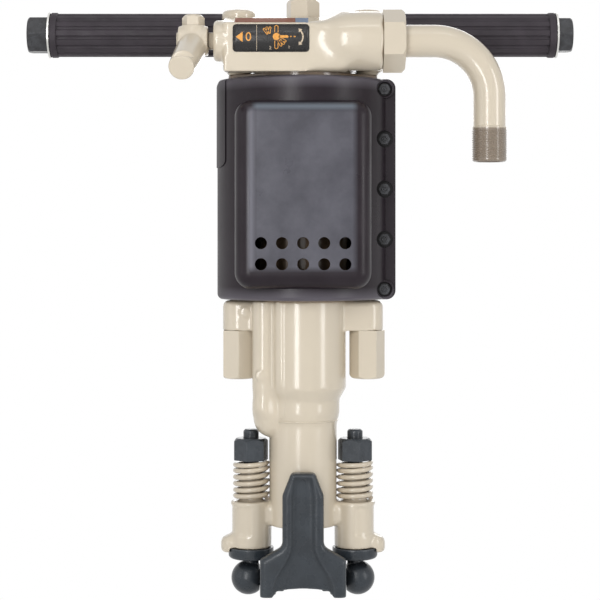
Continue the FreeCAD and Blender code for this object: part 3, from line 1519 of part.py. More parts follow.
def report_least_gap(arcs):
    """Print how near the wire comes to its own next turn, measured on points."""
    places = []
    for arc in arcs:
        for part in range(4):
            span = arc.LastParameter - arc.FirstParameter
            places.append(arc.value(arc.FirstParameter + span * part / 4))
    half_turn = len(places) // (2 * spring_turns)
    least = min((places[low] - places[high]).Length
                for low in range(len(places)) for high in range(low + half_turn, len(places)))
    print("least gap between turns", round(least - 2 * spring_wire_radius, 2))


def yoke_wall():
    """The front wall of the retainer: a column that widens to a base with two feet."""
    right = [(yoke_top_half_width, yoke_top), (yoke_column_half_width, yoke_shoulder_z),
             (yoke_column_half_width, yoke_neck_z), (yoke_base_half_width, yoke_base_top),
             (yoke_base_half_width, yoke_bottom), (yoke_foot_inner_x, yoke_bottom),
             (yoke_foot_slope_x, yoke_bottom + yoke_foot_height)]
    around = [point(-x, yoke_front, z) for x, z in reversed(right)]
    around += [point(x, yoke_front, z) for x, z in right]
    arch_top = yoke_bottom + yoke_foot_height + yoke_arch_rise
    arch = Part.Arc(around[-1], point(0.0, yoke_front, arch_top), around[0]).toShape()
    outline = Part.Wire(Part.makePolygon(around).Edges + [arch])
    wall = Part.Face(outline).extrude(ACROSS_Y * (yoke_rear - yoke_front))

    def across_corner(height):
        return lambda box: box.YLength > yoke_groove_depth and level_at(height)(box)
    wall = softened(wall, yoke_corner_rounding, across_corner(yoke_top))
    wall = softened(wall, yoke_corner_rounding, across_corner(yoke_shoulder_z))
    wall = softened(wall, yoke_flare_radius, across_corner(yoke_neck_z))

    def front_edge(box):
        return box.YMax < yoke_front + thread_gap and box.ZMax > yoke_bottom + yoke_foot_drop
    return softened(wall, yoke_edge_rounding, front_edge)


def smooth_edge(places):
    """A smooth curve through a few places."""
    curve = Part.BSplineCurve()
    curve.interpolate(places)
    return curve.toShape()


def groove_section(y, widening):
    """The scoop's outline at one depth, drawn round in order from its upper left corner."""
    flank = [(yoke_groove_half_width, yoke_groove_neck_z), (yoke_groove_bend_half_width, yoke_groove_bend_z),
             (yoke_groove_foot_half_width, yoke_groove_foot_z),
             (yoke_groove_base_half_width, yoke_bottom - cut_over)]
    right = [point(half + widening, y, z) for half, z in flank]
    left = [point(-place.x, y, place.z) for place in reversed(right)]
    top = point(yoke_groove_top_half_width + widening, y, yoke_groove_top + widening)
    shoulder = point(yoke_groove_half_width + widening, y, yoke_shoulder_z)
    far_top = point(-top.x, y, top.z)
    far_shoulder = point(-shoulder.x, y, shoulder.z)
    return Part.Wire([
        Part.makeLine(far_top, top), Part.makeLine(top, shoulder), Part.makeLine(shoulder, right[0]),
        smooth_edge(right), Part.makeLine(right[-1], left[0]), smooth_edge(left),
        Part.makeLine(left[-1], far_shoulder), Part.makeLine(far_shoulder, far_top),
    ])


def yoke_groove():
    """The scoop down the front of the retainer, which opens out into the arch."""
    overshoot = (yoke_groove_depth + cut_over) / yoke_groove_depth
    outer = groove_section(yoke_front - cut_over, yoke_groove_slope * overshoot)
    inner = groove_section(yoke_front + yoke_groove_depth, 0.0)
    return Part.makeLoft([outer, inner], True, True)


def retainer():
    wall = yoke_wall().cut(yoke_groove())
    jaw = block(-jaw_half_width, jaw_half_width, yoke_rear - cut_over, jaw_rear, jaw_bottom, jaw_top)
    slot = fused([
        block(-jaw_slot_half_width, jaw_slot_half_width, jaw_slot_front + jaw_slot_half_width,
              jaw_rear + cut_over, yoke_bottom - cut_over, jaw_top + cut_over),
        upright(jaw_slot_half_width, 0.0, jaw_slot_front + jaw_slot_half_width, yoke_bottom - cut_over,
                jaw_top + cut_over),
    ])
    pieces = [wall, jaw]
    for side in (-1, 1):
        outer = side * cheek_inner_x
        inner = side * (jaw_slot_half_width + jaw_wall_inset)
        pieces.append(block(min(outer, inner), max(outer, inner), yoke_rear - cut_over, jaw_wall_rear,
                            yoke_bottom + jaw_wall_lift, jaw_top))
        near = side * (cheek_inner_x - cut_over)
        far = side * (yoke_base_half_width - seat_gap)
        pieces.append(crosswise(cheek_radius, 0.0, trunnion_z, min(near, far), max(near, far)))
        pieces.append(block(min(near, far), max(near, far), yoke_rear - cut_over, 0.0,
                            trunnion_z - cheek_radius, trunnion_z + cheek_radius))
        pieces.append(crosswise(trunnion_radius, 0.0, trunnion_z, min(near, side * trunnion_end),
                                max(near, side * trunnion_end)))
    return fused(pieces).cut(slot)


def control_plate():
    plate = block(plate_left, plate_right, block_front - plate_thickness, block_front, plate_bottom,
                  plate_top)

    def corner_edge(box):
        return box.YLength > plate_thickness / 2
    return softened(plate, plate_corner, corner_edge)


def build():
    os.makedirs("parts", exist_ok=True)
    save("front_head", front_head())
    save("chuck", chuck())
    save("chuck_driver", chuck_driver())
    save("stem_bearing", stem_bearing())
    save("cylinder", cylinder_casting())
    save("piston", piston())
    save("rifle_nut", rifle_nut())
    save("rifle_bar", rifle_bar())
    for index in range(pawl_count):
        save("pawl_" + str(index + 1), pawl(index))
    pawl_face = pawl_pivot_radius - pawl_half_width - seat_gap
    save("pawl_plungers", pawl_pins(pawl_plunger_radius, pawl_plunger_start, pawl_face, 0.0))
    save("pawl_springs", pawl_pins(pawl_plunger_radius, pawl_spring_start, pawl_plunger_start,
                                   pawl_plunger_radius / 2))
    save("ratchet_ring", ratchet_ring())
    save("valve_chest", valve_chest())
    save("valve", valve())
    save("valve_cover", valve_cover())
    save("blow_tube", blow_tube())
    save("blow_tube_gasket", blow_tube_gasket())
    save("backhead", backhead())
    save("top_plug", top_plug())
    save("side_rod_left", side_rod(-1))
    save("side_rod_right", side_rod(1))
    save("side_rod_nuts", side_rod_nuts())
    save("throttle_valve", throttle_valve())
    save("throttle_lever", throttle_lever())
    save("lever_clamp_bolt", lever_clamp_bolt())
    save("detent_plunger", detent_plunger())
    save("detent_spring", detent_spring())
    save("swivel_nut", swivel_nut())
    save("gooseneck", gooseneck())
    save("inlet_seal", inlet_seal())
    save("inlet_screen", inlet_screen())
    save("grip_left", grip(-1))
    save("grip_right", grip(1))
    save("grip_tubes", grip_tubes())
    save("grip_washers", grip_washers())
    save("handle_bolt", handle_bolt())
    save("handle_nut", handle_nut())
    save("muffler_front", muffler_front())
    save("muffler_rear", muffler_rear())
    save("muffler_bolts", muffler_bolts())
    save("muffler_nuts", muffler_nuts())
    save("retainer_bolt_left", retainer_bolt(-1))
    save("retainer_bolt_right", retainer_bolt(1))
    save("retainer_bolt_nuts", retainer_bolt_nuts())
    save("retainer_spring_left", retainer_spring(-1))
    save("retainer_spring_right", retainer_spring(1))
    save("retainer", retainer())
    save("control_plate", control_plate())


build()
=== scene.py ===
import bmesh
import bpy
import json
import math
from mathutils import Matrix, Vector
from mathutils.bvhtree import BVHTree

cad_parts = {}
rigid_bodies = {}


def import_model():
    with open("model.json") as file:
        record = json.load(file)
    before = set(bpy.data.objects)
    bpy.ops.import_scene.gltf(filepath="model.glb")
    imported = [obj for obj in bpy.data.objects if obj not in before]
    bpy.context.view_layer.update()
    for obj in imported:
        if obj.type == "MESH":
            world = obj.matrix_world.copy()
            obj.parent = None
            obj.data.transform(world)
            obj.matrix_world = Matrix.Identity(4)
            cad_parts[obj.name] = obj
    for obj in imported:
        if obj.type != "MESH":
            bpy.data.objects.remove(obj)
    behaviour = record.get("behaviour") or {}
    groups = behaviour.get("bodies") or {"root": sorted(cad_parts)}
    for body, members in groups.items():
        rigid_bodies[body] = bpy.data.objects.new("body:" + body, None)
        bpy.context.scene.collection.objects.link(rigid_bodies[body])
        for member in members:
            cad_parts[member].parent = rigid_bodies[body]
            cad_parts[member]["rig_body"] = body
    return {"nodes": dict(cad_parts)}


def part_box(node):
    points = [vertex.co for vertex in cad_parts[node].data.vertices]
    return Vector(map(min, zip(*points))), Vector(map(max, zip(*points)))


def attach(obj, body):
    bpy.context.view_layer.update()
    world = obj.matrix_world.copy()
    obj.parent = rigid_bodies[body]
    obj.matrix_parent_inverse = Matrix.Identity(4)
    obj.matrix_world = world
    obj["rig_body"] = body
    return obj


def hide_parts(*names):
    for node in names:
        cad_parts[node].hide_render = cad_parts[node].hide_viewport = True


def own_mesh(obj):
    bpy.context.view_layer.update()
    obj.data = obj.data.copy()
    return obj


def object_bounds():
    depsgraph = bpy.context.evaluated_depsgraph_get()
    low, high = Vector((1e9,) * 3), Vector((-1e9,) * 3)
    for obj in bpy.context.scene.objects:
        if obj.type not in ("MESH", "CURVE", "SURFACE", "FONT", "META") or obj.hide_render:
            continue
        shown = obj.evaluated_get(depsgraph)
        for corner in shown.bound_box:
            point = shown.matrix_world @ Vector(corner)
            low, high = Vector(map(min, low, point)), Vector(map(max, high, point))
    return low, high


# A pneumatic rock drill on a plain studio floor. Metres, in the frame's own axes:
# the drill axis is Z, the handles run along X and the muffler's vented side faces -Y.
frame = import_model()
cad_nodes = frame["nodes"]
cad_low, cad_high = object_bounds()

MM = 0.001


# Places read from the frame

def middle(node):
    low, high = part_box(node)
    return (low + high) / 2


# Materials

def tree_of(name, color, roughness, metallic=0.0):
    """A new material with its shader, node tree and object coordinates."""
    material = bpy.data.materials.new(name)
    material.use_nodes = True
    tree = material.node_tree
    shader = tree.nodes["Principled BSDF"]
    shader.inputs["Base Color"].default_value = (*color, 1.0)
    shader.inputs["Roughness"].default_value = roughness
    shader.inputs["Metallic"].default_value = metallic
    place = tree.nodes.new("ShaderNodeTexCoord")
    return material, tree, shader, place.outputs["Object"]


def noise(tree, place, scale, detail=3.0, rough=0.55):
    node = tree.nodes.new("ShaderNodeTexNoise")
    node.inputs["Scale"].default_value = scale
    node.inputs["Detail"].default_value = detail
    node.inputs["Roughness"].default_value = rough
    tree.links.new(place, node.inputs["Vector"])
    return node.outputs["Fac"]


def ramp(tree, factor, low, high, start=0.35, end=0.65):
    """Blend between two colours as a factor goes from start to end."""
    node = tree.nodes.new("ShaderNodeValToRGB")
    node.color_ramp.elements[0].position = start
    node.color_ramp.elements[0].color = (*low, 1.0)
    node.color_ramp.elements[1].position = end
    node.color_ramp.elements[1].color = (*high, 1.0)
    tree.links.new(factor, node.inputs["Fac"])
    return node.outputs["Color"]


def gray_ramp(tree, factor, low, high, start=0.35, end=0.65):
    return ramp(tree, factor, (low,) * 3, (high,) * 3, start, end)


def blend_colors(tree, factor, first, second):
    """Mix two colours, each a socket or a plain triple."""
    node = tree.nodes.new("ShaderNodeMix")
    node.data_type = "RGBA"
    tree.links.new(factor, node.inputs["Factor"])
    for socket, value in ((node.inputs[6], first), (node.inputs[7], second)):
        if isinstance(value, tuple):
            socket.default_value = (*value, 1.0)
        else:
            tree.links.new(value, socket)
    return node.outputs[2]


def crevice_shade(tree, distance, start=0.35, end=0.85):
    """1 in tight corners, 0 on open surfaces: the share of shade painted into crevices."""
    node = tree.nodes.new("ShaderNodeAmbientOcclusion")
    node.inputs["Distance"].default_value = distance
    node.samples = 8
    return gray_ramp(tree, node.outputs["AO"], 1.0, 0.0, start, end)


def raised_edges(tree):
    """1 on convex edges, 0 elsewhere."""
    node = tree.nodes.new("ShaderNodeNewGeometry")
    return gray_ramp(tree, node.outputs["Pointiness"], 0.0, 1.0, 0.505, 0.55)


def multiply(tree, first, second):
    node = tree.nodes.new("ShaderNodeMath")
    node.operation = "MULTIPLY"
    for socket, value in zip(node.inputs, (first, second)):
        if isinstance(value, float):
            socket.default_value = value
        else:
            tree.links.new(value, socket)
    return node.outputs[0]


def bump(tree, shader, heights, distance):
    """Stack bump layers: pairs of a height socket and a strength."""
    normal = None
    for height, strength in heights:
        node = tree.nodes.new("ShaderNodeBump")
        node.inputs["Strength"].default_value = strength
        node.inputs["Distance"].default_value = distance
        tree.links.new(height, node.inputs["Height"])
        if normal is not None:
            tree.links.new(normal, node.inputs["Normal"])
        normal = node.outputs["Normal"]
    tree.links.new(normal, shader.inputs["Normal"])


def place_share(tree, place, axis, zero, one):
    """0 to 1 as a coordinate goes from one place to another."""
    parts = tree.nodes.new("ShaderNodeSeparateXYZ")
    tree.links.new(place, parts.inputs[0])
    node = tree.nodes.new("ShaderNodeMapRange")
    node.inputs["From Min"].default_value = zero
    node.inputs["From Max"].default_value = one
    tree.links.new(parts.outputs[axis], node.inputs["Value"])
    return node.outputs["Result"]


def window(tree, place, axis, low, high, fade):
    """1 where a coordinate lies between two places, 0 outside them."""
    return multiply(tree, place_share(tree, place, axis, low - fade, low + fade),
                    place_share(tree, place, axis, high + fade, high - fade))


# Colours, as linear values

CREAM = (0.665, 0.585, 0.462)
CREAM_WIRE = (0.62, 0.54, 0.42)
TAUPE = (0.240, 0.190, 0.142)
GRIME_AND_SHADE = (0.23, 0.165, 0.105)
SLATE = (0.026, 0.032, 0.039)
SLATE_WEAR_AND_HIGHLIGHT = (0.13, 0.14, 0.155)
SLATE_PAINTED_SHADE = (0.008, 0.008, 0.009)
CHARCOAL = (0.016, 0.010, 0.014)
CHARCOAL_DARK = (0.012, 0.007, 0.011)
CHARCOAL_LIGHT = (0.019, 0.013, 0.018)
CHARCOAL_PAINTED_SHADE = (0.006, 0.005, 0.006)
CHARCOAL_EDGE_HIGHLIGHT = (0.150, 0.138, 0.162)
PANEL_SHEEN_DARK = (0.068, 0.067, 0.082)
PANEL_SHEEN_LIGHT = (0.106, 0.105, 0.126)
PANEL_TOP_HIGHLIGHT = (0.165, 0.195, 0.235)
PANEL_SIDE_HIGHLIGHT = (0.190, 0.190, 0.225)
RUBBER = (0.033, 0.027, 0.033)
SEAL_BLACK = (0.02, 0.02, 0.02)
RUBBER_PAINTED_SHADE = (0.008, 0.007, 0.008)
OXIDE_BLACK = (0.022, 0.021, 0.023)
BOLT_BLACK = (0.013, 0.010, 0.012)
ZINC = (0.74, 0.73, 0.70)
BRIGHT_STEEL = (0.50, 0.49, 0.47)
BRONZE = (0.60, 0.40, 0.20)
PRIMER_BROWN = (0.20, 0.135, 0.085)
PLATE_BLACK = (0.012, 0.011, 0.011)
INK_ORANGE = (0.84, 0.37, 0.055)
INK_CREAM = (0.62, 0.50, 0.36)
FOIL_RUST = (0.22, 0.060, 0.022)
FOIL_BLUE = (0.20, 0.27, 0.40)


def cream_enamel(name, tint=CREAM, lumps=0.10, peel=0.03, other=None, other_place=None):
    """Gloss cream enamel sprayed over a casting, with another colour on one side of a place."""
    material, tree, shader, place = tree_of(name, tint, 0.22)
    shade = tuple(value * 0.97 for value in tint)
    light = tuple(min(1.0, value * 1.02) for value in tint)
    color = ramp(tree, noise(tree, place, 9.0, 1.0), shade, light, 0.25, 0.75)
    if other:
        color = blend_colors(tree, place_share(tree, place, *other_place), color, other)
    # Grime and painted shade: darker and browner in crevices, where shade falls.
    grime_and_shade = multiply(tree, crevice_shade(tree, 0.007, 0.30, 0.72), 0.42)
    color = blend_colors(tree, grime_and_shade, color, GRIME_AND_SHADE)
    tree.links.new(color, shader.inputs["Base Color"])
    rough = gray_ramp(tree, noise(tree, place, 45.0, 3.0), 0.17, 0.25)
    tree.links.new(rough, shader.inputs["Roughness"])
    shader.inputs["Specular IOR Level"].default_value = 0.5
    shader.inputs["Coat Weight"].default_value = 0.4
    shader.inputs["Coat Roughness"].default_value = 0.10
    cast_skin = noise(tree, place, 55.0, 1.0)
    orange_peel = noise(tree, place, 520.0, 1.0)
    bump(tree, shader, [(cast_skin, lumps), (orange_peel, peel)], 0.0008)
    return material


def dark_enamel(name, tint=SLATE):
    """Dark slate enamel on drop forgings: lighter on raised edges, as wear and as a painted highlight,
    with painted shade in crevices.
    """
    material, tree, shader, place = tree_of(name, tint, 0.42)
    light = tuple(value * 1.35 for value in tint)
    color = ramp(tree, noise(tree, place, 40.0, 4.0), tint, light, 0.40, 0.66)
    # Raised edges lighter: rub wear and a painted highlight.
    patchy = gray_ramp(tree, noise(tree, place, 160.0, 3.0), 0.4, 1.0)
    wear_and_highlight = multiply(tree, raised_edges(tree), patchy)
    color = blend_colors(tree, multiply(tree, wear_and_highlight, 0.6), color, SLATE_WEAR_AND_HIGHLIGHT)
    # Painted shade: darker in crevices.
    shaded = multiply(tree, crevice_shade(tree, 0.012, 0.45, 0.95), 0.6)
    color = blend_colors(tree, shaded, color, SLATE_PAINTED_SHADE)
    tree.links.new(color, shader.inputs["Base Color"])
    rough = gray_ramp(tree, noise(tree, place, 90.0, 3.0), 0.24, 0.36)
    tree.links.new(rough, shader.inputs["Roughness"])
    shader.inputs["Specular IOR Level"].default_value = 0.36
    scale_skin = noise(tree, place, 150.0, 3.0)
    fine_grain = noise(tree, place, 900.0, 2.0)
    bump(tree, shader, [(scale_skin, 0.28), (fine_grain, 0.10)], 0.0006)
    return material


def moulding(name):
    """Charcoal moulded muffler skin, satin: a painted bluish sheen on the vented panel, painted
    highlights along the panel's top and left roundings and along the skin's top and bottom edges, and
    painted shade in crevices.
    """
    material, tree, shader, place = tree_of(name, CHARCOAL, 0.42)
    color = ramp(tree, noise(tree, place, 22.0, 4.0), CHARCOAL_DARK, CHARCOAL_LIGHT)
    # Painted sheen: the flat vented panel lighter and bluer, as a reflection of a lamp.
    painted_sheen = ramp(tree, noise(tree, place, 26.0, 5.0, 0.6), PANEL_SHEEN_DARK, PANEL_SHEEN_LIGHT)
    across = window(tree, place, "X", PANEL_FLAT_LEFT, PANEL_FLAT_RIGHT, PANEL_FADE)
    upright = window(tree, place, "Z", PANEL_FLAT_BOTTOM, PANEL_FLAT_TOP, PANEL_FADE)
    front = place_share(tree, place, "Y", *PANEL_DEPTH)
    front_half = place_share(tree, place, "Y", *FRONT_HALF)
    flat = multiply(tree, multiply(tree, across, upright), front)
    color = blend_colors(tree, flat, color, painted_sheen)
    # Painted highlights: lighter bluish bands along the panel's top and left roundings.
    top_highlight = window(tree, place, "Z", PANEL_FLAT_TOP, PANEL_FLAT_TOP + PANEL_HIGHLIGHT_BAND, PANEL_HIGHLIGHT_FADE)
    top_highlight = multiply(tree, multiply(tree, multiply(tree, top_highlight, across), front), 0.75)
    color = blend_colors(tree, top_highlight, color, PANEL_TOP_HIGHLIGHT)
    side_highlight = window(tree, place, "X", PANEL_FLAT_LEFT - PANEL_HIGHLIGHT_BAND, PANEL_FLAT_LEFT, PANEL_HIGHLIGHT_FADE)
    side_highlight = multiply(tree, multiply(tree, multiply(tree, side_highlight, upright), front), 0.7)
    color = blend_colors(tree, side_highlight, color, PANEL_SIDE_HIGHLIGHT)
    # Painted highlights: lighter bands along the skin's top and bottom edges, on its front half.
    for end, towards in ((muffler_high.z, -1), (muffler_low.z, 1)):
        edge_share = place_share(tree, place, "Z", end + towards * EDGE_BAND, end)
        wear_and_edge_light = multiply(tree, multiply(tree, edge_share, front_half), 0.8)
        color = blend_colors(tree, wear_and_edge_light, color, CHARCOAL_EDGE_HIGHLIGHT)
    # Painted shade: darker in crevices.
    color = blend_colors(tree, multiply(tree, crevice_shade(tree, 0.008), 0.6), color, CHARCOAL_PAINTED_SHADE)
    tree.links.new(color, shader.inputs["Base Color"])
    smears = noise(tree, place, 14.0, 5.0, 0.62)
    tree.links.new(gray_ramp(tree, smears, 0.26, 0.38), shader.inputs["Roughness"])
    shader.inputs["Specular IOR Level"].default_value = 0.24
    skin = noise(tree, place, 70.0, 1.0)
    grain = noise(tree, place, 800.0, 1.0)
    bump(tree, shader, [(grain, 0.06), (skin, 0.05)], 0.0005)
    return material


def rubber(name, tint, roughness):
    """Moulded rubber, dusty on its faces, with painted shade in its grooves."""
    material, tree, shader, place = tree_of(name, tint, roughness)
    light = tuple(value * 1.5 for value in tint)
    color = ramp(tree, noise(tree, place, 60.0, 4.0), tint, light, 0.42, 0.70)
    color = blend_colors(tree, multiply(tree, crevice_shade(tree, 0.003), 0.7), color, RUBBER_PAINTED_SHADE)
    tree.links.new(color, shader.inputs["Base Color"])
    rough = gray_ramp(tree, noise(tree, place, 120.0, 3.0), roughness - 0.08, roughness + 0.1)
    tree.links.new(rough, shader.inputs["Roughness"])
    shader.inputs["Specular IOR Level"].default_value = 0.3
    bump(tree, shader, [(noise(tree, place, 1300.0, 2.0), 0.20)], 0.0004)
    return material


def bare_metal(name, tint, roughness):
    """Machined or plated metal with fine turning marks."""
    material, tree, shader, place = tree_of(name, tint, roughness, 1.0)
    stretch = tree.nodes.new("ShaderNodeMapping")
    stretch.inputs["Scale"].default_value = (12.0, 1.0, 1.0)
    tree.links.new(place, stretch.inputs["Vector"])
    grain = noise(tree, stretch.outputs["Vector"], 260.0, 4.0)
    rough = gray_ramp(tree, grain, roughness - 0.06, roughness + 0.12)
    tree.links.new(rough, shader.inputs["Roughness"])
    shade = tuple(value * 0.82 for value in tint)
    color = ramp(tree, noise(tree, place, 90.0, 4.0), shade, tint)
    tree.links.new(color, shader.inputs["Base Color"])
    bump(tree, shader, [(grain, 0.25)], 0.0002)
    return material


def painted_mark(name, color, roughness=0.35):
    """Ink or foil on the control plate."""
    material, tree, shader, place = tree_of(name, color, roughness)
    wear_and_edge_light = tuple(value * 0.88 for value in color)
    ink = ramp(tree, noise(tree, place, 240.0, 3.0), wear_and_edge_light, color)
    tree.links.new(ink, shader.inputs["Base Color"])
    rough = gray_ramp(tree, noise(tree, place, 500.0, 2.0), roughness - 0.08, roughness + 0.08)
    tree.links.new(rough, shader.inputs["Roughness"])
    return material


muffler_low, muffler_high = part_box("muffler_front")
PANEL_FLAT_LEFT = -47 * MM
PANEL_FLAT_RIGHT = 50 * MM
PANEL_FLAT_BOTTOM = muffler_low.z + 31 * MM
PANEL_FLAT_TOP = muffler_high.z - 34 * MM
PANEL_FADE = 3.0 * MM
PANEL_HIGHLIGHT_BAND = 5.5 * MM
PANEL_HIGHLIGHT_FADE = 2.2 * MM
PANEL_DEPTH = (muffler_low.y + 12 * MM, muffler_low.y + 8 * MM)
FRONT_HALF = (5 * MM, -25 * MM)
EDGE_BAND = 13 * MM
backhead_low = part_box("backhead")[0]
pipe_low, pipe_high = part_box("gooseneck")
PIPE_THREAD_LENGTH = 32.9 * MM
thread_top = pipe_low.z + PIPE_THREAD_LENGTH

cream = cream_enamel("cream_cast_enamel")
cream_smooth = cream_enamel("cream_machined_enamel", lumps=0.06, peel=0.05)
cream_wire = cream_enamel("cream_spring_enamel", tint=CREAM_WIRE, lumps=0.0, peel=0.05)
cream_pipe = cream_enamel("cream_pipe_enamel", lumps=0.05, peel=0.04, other=TAUPE,
                          other_place=("Z", thread_top + 1.0 * MM, thread_top - 1.0 * MM))
cream_stem = cream_enamel("cream_stem_enamel", lumps=0.05, peel=0.04, other=BRIGHT_STEEL,
                          other_place=("X", backhead_low.x, backhead_low.x + 2.0 * MM))
thread_coat = cream_enamel("taupe_thread_coat", tint=TAUPE, lumps=0.10, peel=0.1)
slate = dark_enamel("slate_forging_enamel")
muffler_skin = moulding("charcoal_moulding")
grip_rubber = rubber("grip_rubber", RUBBER, 0.58)
seal_rubber = rubber("seal_rubber", SEAL_BLACK, 0.6)
black_oxide = dark_enamel("black_oxide", OXIDE_BLACK)
muffler_bolt_black = dark_enamel("muffler_bolt_black", BOLT_BLACK)
zinc = bare_metal("zinc_plate", ZINC, 0.28)
steel = bare_metal("machined_steel", BRIGHT_STEEL, 0.30)
bronze = bare_metal("bearing_bronze", BRONZE, 0.34)
iron = cream_enamel("primed_cylinder_iron", tint=PRIMER_BROWN, lumps=0.5, peel=0.1)
plate_black = painted_mark("plate_black", PLATE_BLACK, 0.30)
plate_orange = painted_mark("plate_orange", INK_ORANGE)
plate_rust = painted_mark("plate_rust", FOIL_RUST, 0.7)
plate_blue = painted_mark("plate_blue", FOIL_BLUE, 0.7)
plate_cream = painted_mark("plate_cream", INK_CREAM)

NODE_MATERIALS = {
    "front_head": cream, "backhead": cream, "side_rod_left": cream_smooth,
    "side_rod_right": cream_smooth, "side_rod_nuts": cream_smooth, "top_plug": cream_smooth,
    "swivel_nut": cream_smooth,
    "gooseneck": cream_pipe, "throttle_lever": cream_smooth, "lever_clamp_bolt": cream_smooth,
    "cylinder": iron, "chuck": steel, "chuck_driver": bronze, "stem_bearing": bronze, "piston": steel,
    "rifle_nut": bronze, "rifle_bar": steel, "pawl_1": steel, "pawl_2": steel, "pawl_3": steel,
    "pawl_4": steel, "pawl_plungers": steel, "pawl_springs": steel, "ratchet_ring": steel,
    "valve_chest": steel, "valve": steel, "valve_cover": steel, "blow_tube": steel,
    "blow_tube_gasket": seal_rubber, "throttle_valve": cream_stem, "detent_plunger": steel,
    "detent_spring": steel, "inlet_seal": seal_rubber, "inlet_screen": steel, "grip_left": grip_rubber,
    "grip_right": grip_rubber, "grip_tubes": steel, "grip_washers": zinc, "handle_bolt": black_oxide,
    "handle_nut": black_oxide, "muffler_front": muffler_skin, "muffler_rear": muffler_skin,
    "muffler_bolts": muffler_bolt_black, "muffler_nuts": muffler_bolt_black,
    "retainer_bolt_left": slate, "retainer_bolt_right": slate, "retainer_bolt_nuts": slate,
    "retainer_spring_left": cream_wire, "retainer_spring_right": cream_wire, "retainer": slate,
    "control_plate": plate_black,
}


# Carried-over nodes: finish and softened edges

WELD_GAP = 2e-6
SMOOTH_ANGLE = math.radians(35.0)
BEVEL_ANGLE = math.radians(32.0)


def smooth_faces(mesh):
    """Shade a mesh smooth, with sharp edges kept."""
    mesh.polygons.foreach_set("use_smooth", [True] * len(mesh.polygons))
    mesh.set_sharp_from_angle(angle=SMOOTH_ANGLE)


def finish_node(name, material, edge):
    """Give a CAD node its finish, and round its sharp edges with modifiers."""
    node = cad_nodes[name]
    node.data.materials.clear()
    node.data.materials.append(material)
    if "custom_normal" in node.data.attributes:
        node.data.attributes.remove(node.data.attributes["custom_normal"])
    weld = node.modifiers.new("weld", "WELD")
    weld.merge_threshold = WELD_GAP
    smooth_faces(node.data)
    if edge:
        rounding = node.modifiers.new("edge", "BEVEL")
        rounding.width = edge
        rounding.segments = 2
        rounding.limit_method = "ANGLE"
        rounding.angle_limit = BEVEL_ANGLE
        rounding.harden_normals = True
    return node


# Roundings in millimetres
EDGE_WIDTHS = {
    "side_rod_nuts": 1.2, "top_plug": 0.8, "swivel_nut": 0.9, "handle_bolt": 0.7, "handle_nut": 0.7,
    "retainer_bolt_nuts": 0.8, "muffler_bolts": 0.4, "grip_washers": 0.3, "lever_clamp_bolt": 0.6,
    "side_rod_left": 0.5, "side_rod_right": 0.5, "gooseneck": 0.4, "grip_left": 0.3, "grip_right": 0.3,
    "cylinder": 0.8, "chuck": 0.4, "muffler_front": 0.8, "muffler_rear": 0.8,
}
for node_name, node_material in NODE_MATERIALS.items():
    finish_node(node_name, node_material, EDGE_WIDTHS.get(node_name, 0.0) * MM)


# Pieces built here

def link(name, mesh, material, body, smooth=True):
    """Put a mesh in the scene as a piece that moves with a body."""
    piece = bpy.data.objects.new(name, mesh)
    bpy.context.scene.collection.objects.link(piece)
    mesh.materials.clear()
    mesh.materials.append(material)
    if smooth:
        smooth_faces(mesh)
    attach(piece, body)
    return piece


def mesh_from(name, build):
    """A mesh from a function that fills a bmesh."""
    work = bmesh.new()
    build(work)
    bmesh.ops.recalc_face_normals(work, faces=work.faces)
    mesh = bpy.data.meshes.new(name)
    work.to_mesh(mesh)
    work.free()
    return mesh


def baked_copy(mesh, name, modifiers):
    """A new mesh: the given one with modifiers applied, each a type and its settings."""
    piece = bpy.data.objects.new(name, mesh)
    bpy.context.scene.collection.objects.link(piece)
    for kind, settings in modifiers:
        modifier = piece.modifiers.new(kind.lower(), kind)
        for key, value in settings.items():
            setattr(modifier, key, value)
    depsgraph = bpy.context.evaluated_depsgraph_get()
    baked = bpy.data.meshes.new_from_object(piece.evaluated_get(depsgraph))
    bpy.data.objects.remove(piece)
    bpy.data.meshes.remove(mesh)
    return baked


def melted(mesh, zone, passes):
    """Run the corners inside a zone together: zone gives a vertex's share from 0 to 1."""
    work = bmesh.new()
    work.from_mesh(mesh)
    near = []
    for vert in work.verts:
        share = zone(vert.co)
        if share > 0.0:
            near.append((vert, share))
    for _ in range(passes):
        moves = []
        for vert, share in near:
            total = Vector((0.0, 0.0, 0.0))
            for edge in vert.link_edges:
                total += edge.other_vert(vert).co
            moves.append((total / len(vert.link_edges) - vert.co) * (share * 0.6))
        for (vert, _), move in zip(near, moves):
            vert.co += move
    work.to_mesh(mesh)
    work.free()


def add_box(work, low, high):
    """A box between two corners, added to a bmesh."""
    made = bmesh.ops.create_cube(work, size=1.0)
    centre = (Vector(low) + Vector(high)) / 2
    bmesh.ops.scale(work, verts=made["verts"], vec=Vector(high) - Vector(low))
    bmesh.ops.translate(work, verts=made["verts"], vec=centre)


def welded_copy(source, name, skirt=None):
    """A node's mesh with its doubled vertices joined, and a box for a skirt if there is one."""
    work = bmesh.new()
    work.from_mesh(source.data)
    bmesh.ops.remove_doubles(work, verts=work.verts, dist=WELD_GAP)
    if skirt:
        add_box(work, *skirt)
    mesh = bpy.data.meshes.new(name)
    work.to_mesh(mesh)
    work.free()
    return mesh


